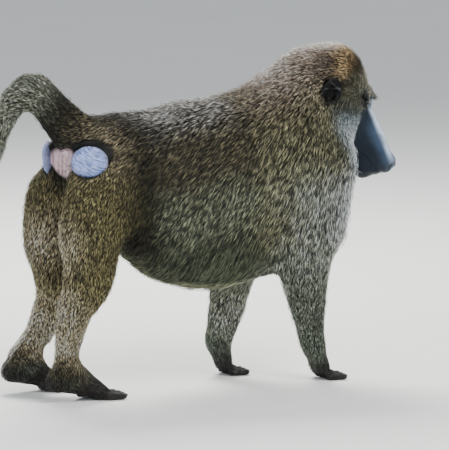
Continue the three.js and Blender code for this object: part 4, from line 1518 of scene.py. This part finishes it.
    def _model(self, region: Region, members: np.ndarray, finish: bpy.types.Material) -> bpy.types.Object:
        """Models one region's tufts as a joined mesh.

        Args:
            region: the region.
            members: the tufts in it.
            finish: the coat's material.

        Returns:
            The piece.
        """
        count = len(members)
        root, mid, tip = self.root[members], self.mid[members], self.tip[members]
        across, up = self.across[members], self.up[members]
        half = (self.width[members] * self.rng.uniform(0.75, 1.25, count) / 2 * MM)[:, None]
        base = root - up * self.sunk * MM
        lift = np.cross(across, unit(tip - mid))
        rings = [base, mid - across * half, mid + lift * half * 0.8, mid + across * half, tip]
        points = np.stack(rings, axis=1).reshape(-1, 3)
        faces = [[0, 1 + (k + 1) % 3, 1 + k] for k in range(3)]
        faces += [[1 + k, 1 + (k + 1) % 3, 4] for k in range(3)]
        loops = np.array(faces).ravel()
        corners = len(loops)
        mesh = bpy.data.meshes.new(region.name)
        mesh.vertices.add(count * 5)
        mesh.vertices.foreach_set("co", points.astype(np.float32).ravel())
        mesh.loops.add(count * corners)
        numbers = loops[None] + 5 * np.arange(count)[:, None]
        mesh.loops.foreach_set("vertex_index", numbers.ravel().astype(np.int32))
        mesh.polygons.add(count * len(faces))
        mesh.polygons.foreach_set("loop_start", np.arange(0, count * corners, 3, dtype=np.int32))
        mesh.update(calc_edges=True)
        self._wrap(mesh, region, root)
        hold(mesh, "along", np.tile([0.0, *[self.bend] * 3, 1.0], count))
        hold(mesh, "shade", np.repeat(self.shade[members], 5))
        hold(mesh, "ticking", np.repeat(self.ticking[members], 5))
        hold(mesh, "tint", np.repeat(self.tone[members], 5, axis=0))
        piece = placed(region.name, mesh)
        smooth(piece)
        return present(piece, "coat", finish)

    def _wrap(self, mesh: bpy.types.Mesh, region: Region, root: np.ndarray) -> None:
        """Gives each tuft its own small patch, at its root's place on the unwrapped skin."""
        thirds = [(k / 3, (k + 1) / 3) for k in range(3)]
        patch = [at for low, high in thirds for at in (((low + high) / 2, 0.0), (high, 0.5), (low, 0.5))]
        patch += [at for low, high in thirds for at in ((low, 0.5), (high, 0.5), ((low + high) / 2, 1.0))]
        corner = region.wrap.spread(root) * (1 - self.patch)
        laid = corner[:, None, :] + np.array(patch)[None] * self.patch
        mesh.uv_layers.new(name=BAKE_MAP).uv.foreach_set("vector", laid.astype(np.float32).ravel())


# ---------------------------------------------------------------- eyes, pads, nails


@dataclass
class Eye:
    """One eyeball with its clear bulge. Sizes in millimetres."""

    plan: Plan
    side: Side
    radius: float = 11.4
    bulge: float = 0.9

    def build(self) -> bpy.types.Object:
        """Models the ball about its gaze and puts it in place."""
        unpick()
        bpy.ops.mesh.primitive_uv_sphere_add(segments=64, ring_count=48, radius=self.radius * MM)
        ball = bpy.context.active_object
        ball.name = ball.data.name = f"eye_{self.side.word}_ball"
        ball.data.transform(Matrix.Rotation(math.radians(90), 4, "Y"))
        form = Form(ball)
        out = unit(form.points)
        tilt = np.arccos(np.clip(out[:, 0], -1, 1))
        form.points += out * (self.bulge * MM * (1 - step_up(np.degrees(tilt), 8, 34)))[:, None]
        hold(ball.data, "ring", tilt / (math.pi / 2))
        hold(ball.data, "turn", np.abs(np.arctan2(form.points[:, 2], form.points[:, 1])) / math.pi)
        form.write()
        ball.data.transform(self.plan.eye(self.side))
        smooth(ball)
        return ball


@dataclass
class SeatPad:
    """One horny pad of the seat: a low cushion with a rolled rim. Sizes in millimetres."""

    side: Side
    grain: float = 2.0

    def build(self) -> bpy.types.Object:
        """Casts the pad from its solid, rounds it and creases it."""
        node = f"seat_pad_{self.side.word}"
        pad = copy_of(node)
        pad.name = pad.data.name = f"{node}_hide"
        apply_modifier(pad, "REMESH", mode="VOXEL", voxel_size=self.grain * MM, adaptivity=0.0)
        form = Form(pad)
        form.soften(1.0, 14)
        form.push(np.full(form.count, 0.9 * MM))
        middle = form.points.mean(0)
        away = form.points - middle
        spread = np.linalg.svd(away, full_matrices=False)[2]
        flat = away @ spread[:2].T / MM
        far = np.linalg.norm(flat, axis=1)
        far /= far.max()
        places = [Vector(p) for p in form.points.tolist()]
        relief = [noise.noise(p * 55.0) * 1.1 + noise.noise(p * 190.0) * 0.35 for p in places]
        form.push((np.array(relief) - 1.4 * mound(far, 0.80, 0.05)) * MM)
        form.write()
        apply_modifier(pad, "SUBSURF", levels=1, render_levels=1)
        points = Form(pad).points - middle
        far = np.linalg.norm(points @ spread[:2].T, axis=1)
        _, y, z = points.T
        stroke = np.stack([(y + z) * 90, (y - z) * 420, far * 20], axis=1)
        # painted highlight streaks, running diagonally across the pad
        hold(pad.data, "brushed", np.array([noise.noise(Vector(p)) for p in stroke.tolist()]) * 0.45 + 0.45)
        hold(pad.data, "rim", far / far.max())
        smooth(pad)
        return pad


@dataclass
class Paw:
    """The nails of one hand or foot. Sizes in millimetres."""

    node: str
    side: Side
    length: float
    fan: float
    outer: float
    thumb: Triple
    half: tuple[float, float, float] = (7.0, 4.6, 2.6)

    def build(self) -> bpy.types.Object:
        """Models one nail and sets a copy on each digit."""
        low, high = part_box(f"{self.node}_{self.side.word}")
        row_x = high.x - self.length * MM * 0.988
        row_y = low.y + self.outer * MM if self.side is Side.RIGHT else high.y - self.outer * MM
        places = []
        for n in (-1.5, -0.5, 0.5, 1.5):
            reach = self.length * (1 - 0.06 * abs(n - 0.3))
            places.append(((row_x + (reach - 7.5) * MM, row_y + n * self.fan * MM, 11.6 * MM), n * 4.0, 16.0))
        inward = -self.side.value
        thumb = Vector((row_x, row_y, 0)) + Vector((self.thumb[0], self.thumb[1] * inward, self.thumb[2])) * MM
        places.append((tuple(thumb), 32.0 * inward, 22.0))
        pattern = self._nail()
        nails = []
        for place, turn, dip in places:
            nail = placed("nail", pattern.data.copy())
            nail.data.transform(
                Matrix.Translation(Vector(place))
                @ Matrix.Rotation(math.radians(turn), 4, "Z")
                @ Matrix.Rotation(math.radians(dip), 4, "Y")
            )
            nails.append(nail)
        bpy.data.objects.remove(pattern)
        return joined(nails, f"nails_{self.node}_{self.side.word}")

    def _nail(self) -> bpy.types.Object:
        """One arched nail, thin at its free edge."""
        unpick()
        bpy.ops.mesh.primitive_uv_sphere_add(segments=20, ring_count=12, radius=1.0)
        nail = bpy.context.active_object
        form = Form(nail)
        x, y, z = form.points.T
        wide = 1 - 0.25 * step_up(x, 0.2, 1.0)
        arched = z * self.half[2] - 1.8 * y * y
        form.points = np.stack([x * self.half[0], y * wide * self.half[1], arched], axis=1) * MM
        form.write()
        smooth(nail)
        return nail


# ---------------------------------------------------------------- stage


@dataclass
class Studio:
    """The floor, the lights and the camera. Lengths in metres, angles in degrees."""

    azimuth: float = -28.0
    elevation: float = 8.0
    distance: float = 12.0
    lens: float = 426.7
    aim_right: float = 0.0922
    aim_up: float = 0.3588
    light_at: Triple = (0.0, 0.0, 0.35)
    sky: Triple = (0.86, 0.90, 0.95)
    sky_strength: float = 0.75

    def build(self) -> None:
        """Sets up floor, lights and camera."""
        self._floor()
        self._light("key", (0.8, -2.4, 3.2), 1.8, 125.0, (1.0, 0.97, 0.92))
        self._light("fill", (-2.8, -1.8, 1.6), 2.2, 60.0, (0.90, 0.95, 1.0))
        self._light("rim", (0.6, 2.2, 2.9), 1.6, 230.0, (1.0, 0.98, 0.94))
        world = bpy.data.worlds.new("studio")
        world.use_nodes = True
        sky = world.node_tree.nodes["Background"].inputs
        sky["Color"].default_value = (*self.sky, 1.0)
        sky["Strength"].default_value = self.sky_strength
        bpy.context.scene.world = world
        self._camera()

    def _floor(self) -> None:
        """A wide, round, flat floor."""
        unpick()
        bpy.ops.mesh.primitive_circle_add(vertices=96, radius=40.0, fill_type="NGON")
        floor = bpy.context.active_object
        floor.name = floor.data.name = "floor"
        edited(floor, partial(bpy.ops.mesh.inset, thickness=0.5, depth=0.0))
        floor.data.materials.append(FloorFinish().dress())

    def _light(self, name: str, place: Triple, size: float, power: float, colour: Triple) -> None:
        """One square soft light aimed at the model's middle."""
        light = bpy.data.lights.new(name, "AREA")
        light.size, light.energy, light.color = size, power, colour
        lamp = placed(name, light)
        lamp.location = place
        lamp.rotation_euler = (Vector(self.light_at) - Vector(place)).to_track_quat("-Z", "Y").to_euler()

    def _camera(self) -> None:
        """A long lens from the right, a little behind and above."""
        azimuth, elevation = math.radians(self.azimuth), math.radians(self.elevation)
        level = math.cos(elevation)
        back = Vector((math.sin(azimuth) * level, -math.cos(azimuth) * level, math.sin(elevation)))
        turn = (-back).to_track_quat("-Z", "Y")
        right, up = turn @ Vector((1, 0, 0)), turn @ Vector((0, 1, 0))
        aim = right * self.aim_right + up * self.aim_up
        camera = bpy.data.cameras.new("camera")
        camera.lens = self.lens
        camera.clip_end = 200.0
        held = placed("camera", camera)
        held.location = aim + back * self.distance
        held.rotation_euler = turn.to_euler()
        bpy.context.scene.camera = held


def main() -> None:
    """Builds the model in order, reports each piece and notes the sizes."""
    logging.basicConfig(level=logging.INFO, format="%(name)s %(message)s")
    plan = Plan()
    skin = Skin(plan)
    skin.build()
    Pelt(plan, skin).build()
    skin.finish()
    eye_finish, seat_finish, nail_finish = EyeFinish().dress(), SeatFinish().dress(), NailFinish().dress()
    for side in Side:
        present(Eye(plan, side).build(), "eye", eye_finish, f"eye_{side.word}")
        present(SeatPad(side).build(), "seat_pad", seat_finish, f"seat_pad_{side.word}")
        thumb = (2.0, 36.0, 12.0) if side is Side.RIGHT else (9.0, 36.0, 12.0)
        hand = Paw("hand", side, length=56.0, fan=22.0, outer=39.0, thumb=thumb)
        foot = Paw("foot", side, length=60.0, fan=20.5, outer=37.5, thumb=(2.0, 50.0, 11.0))
        for paw in (hand, foot):
            present(paw.build(), "nail", nail_finish)
    Studio().build()


if __name__ == "__main__":
    main()
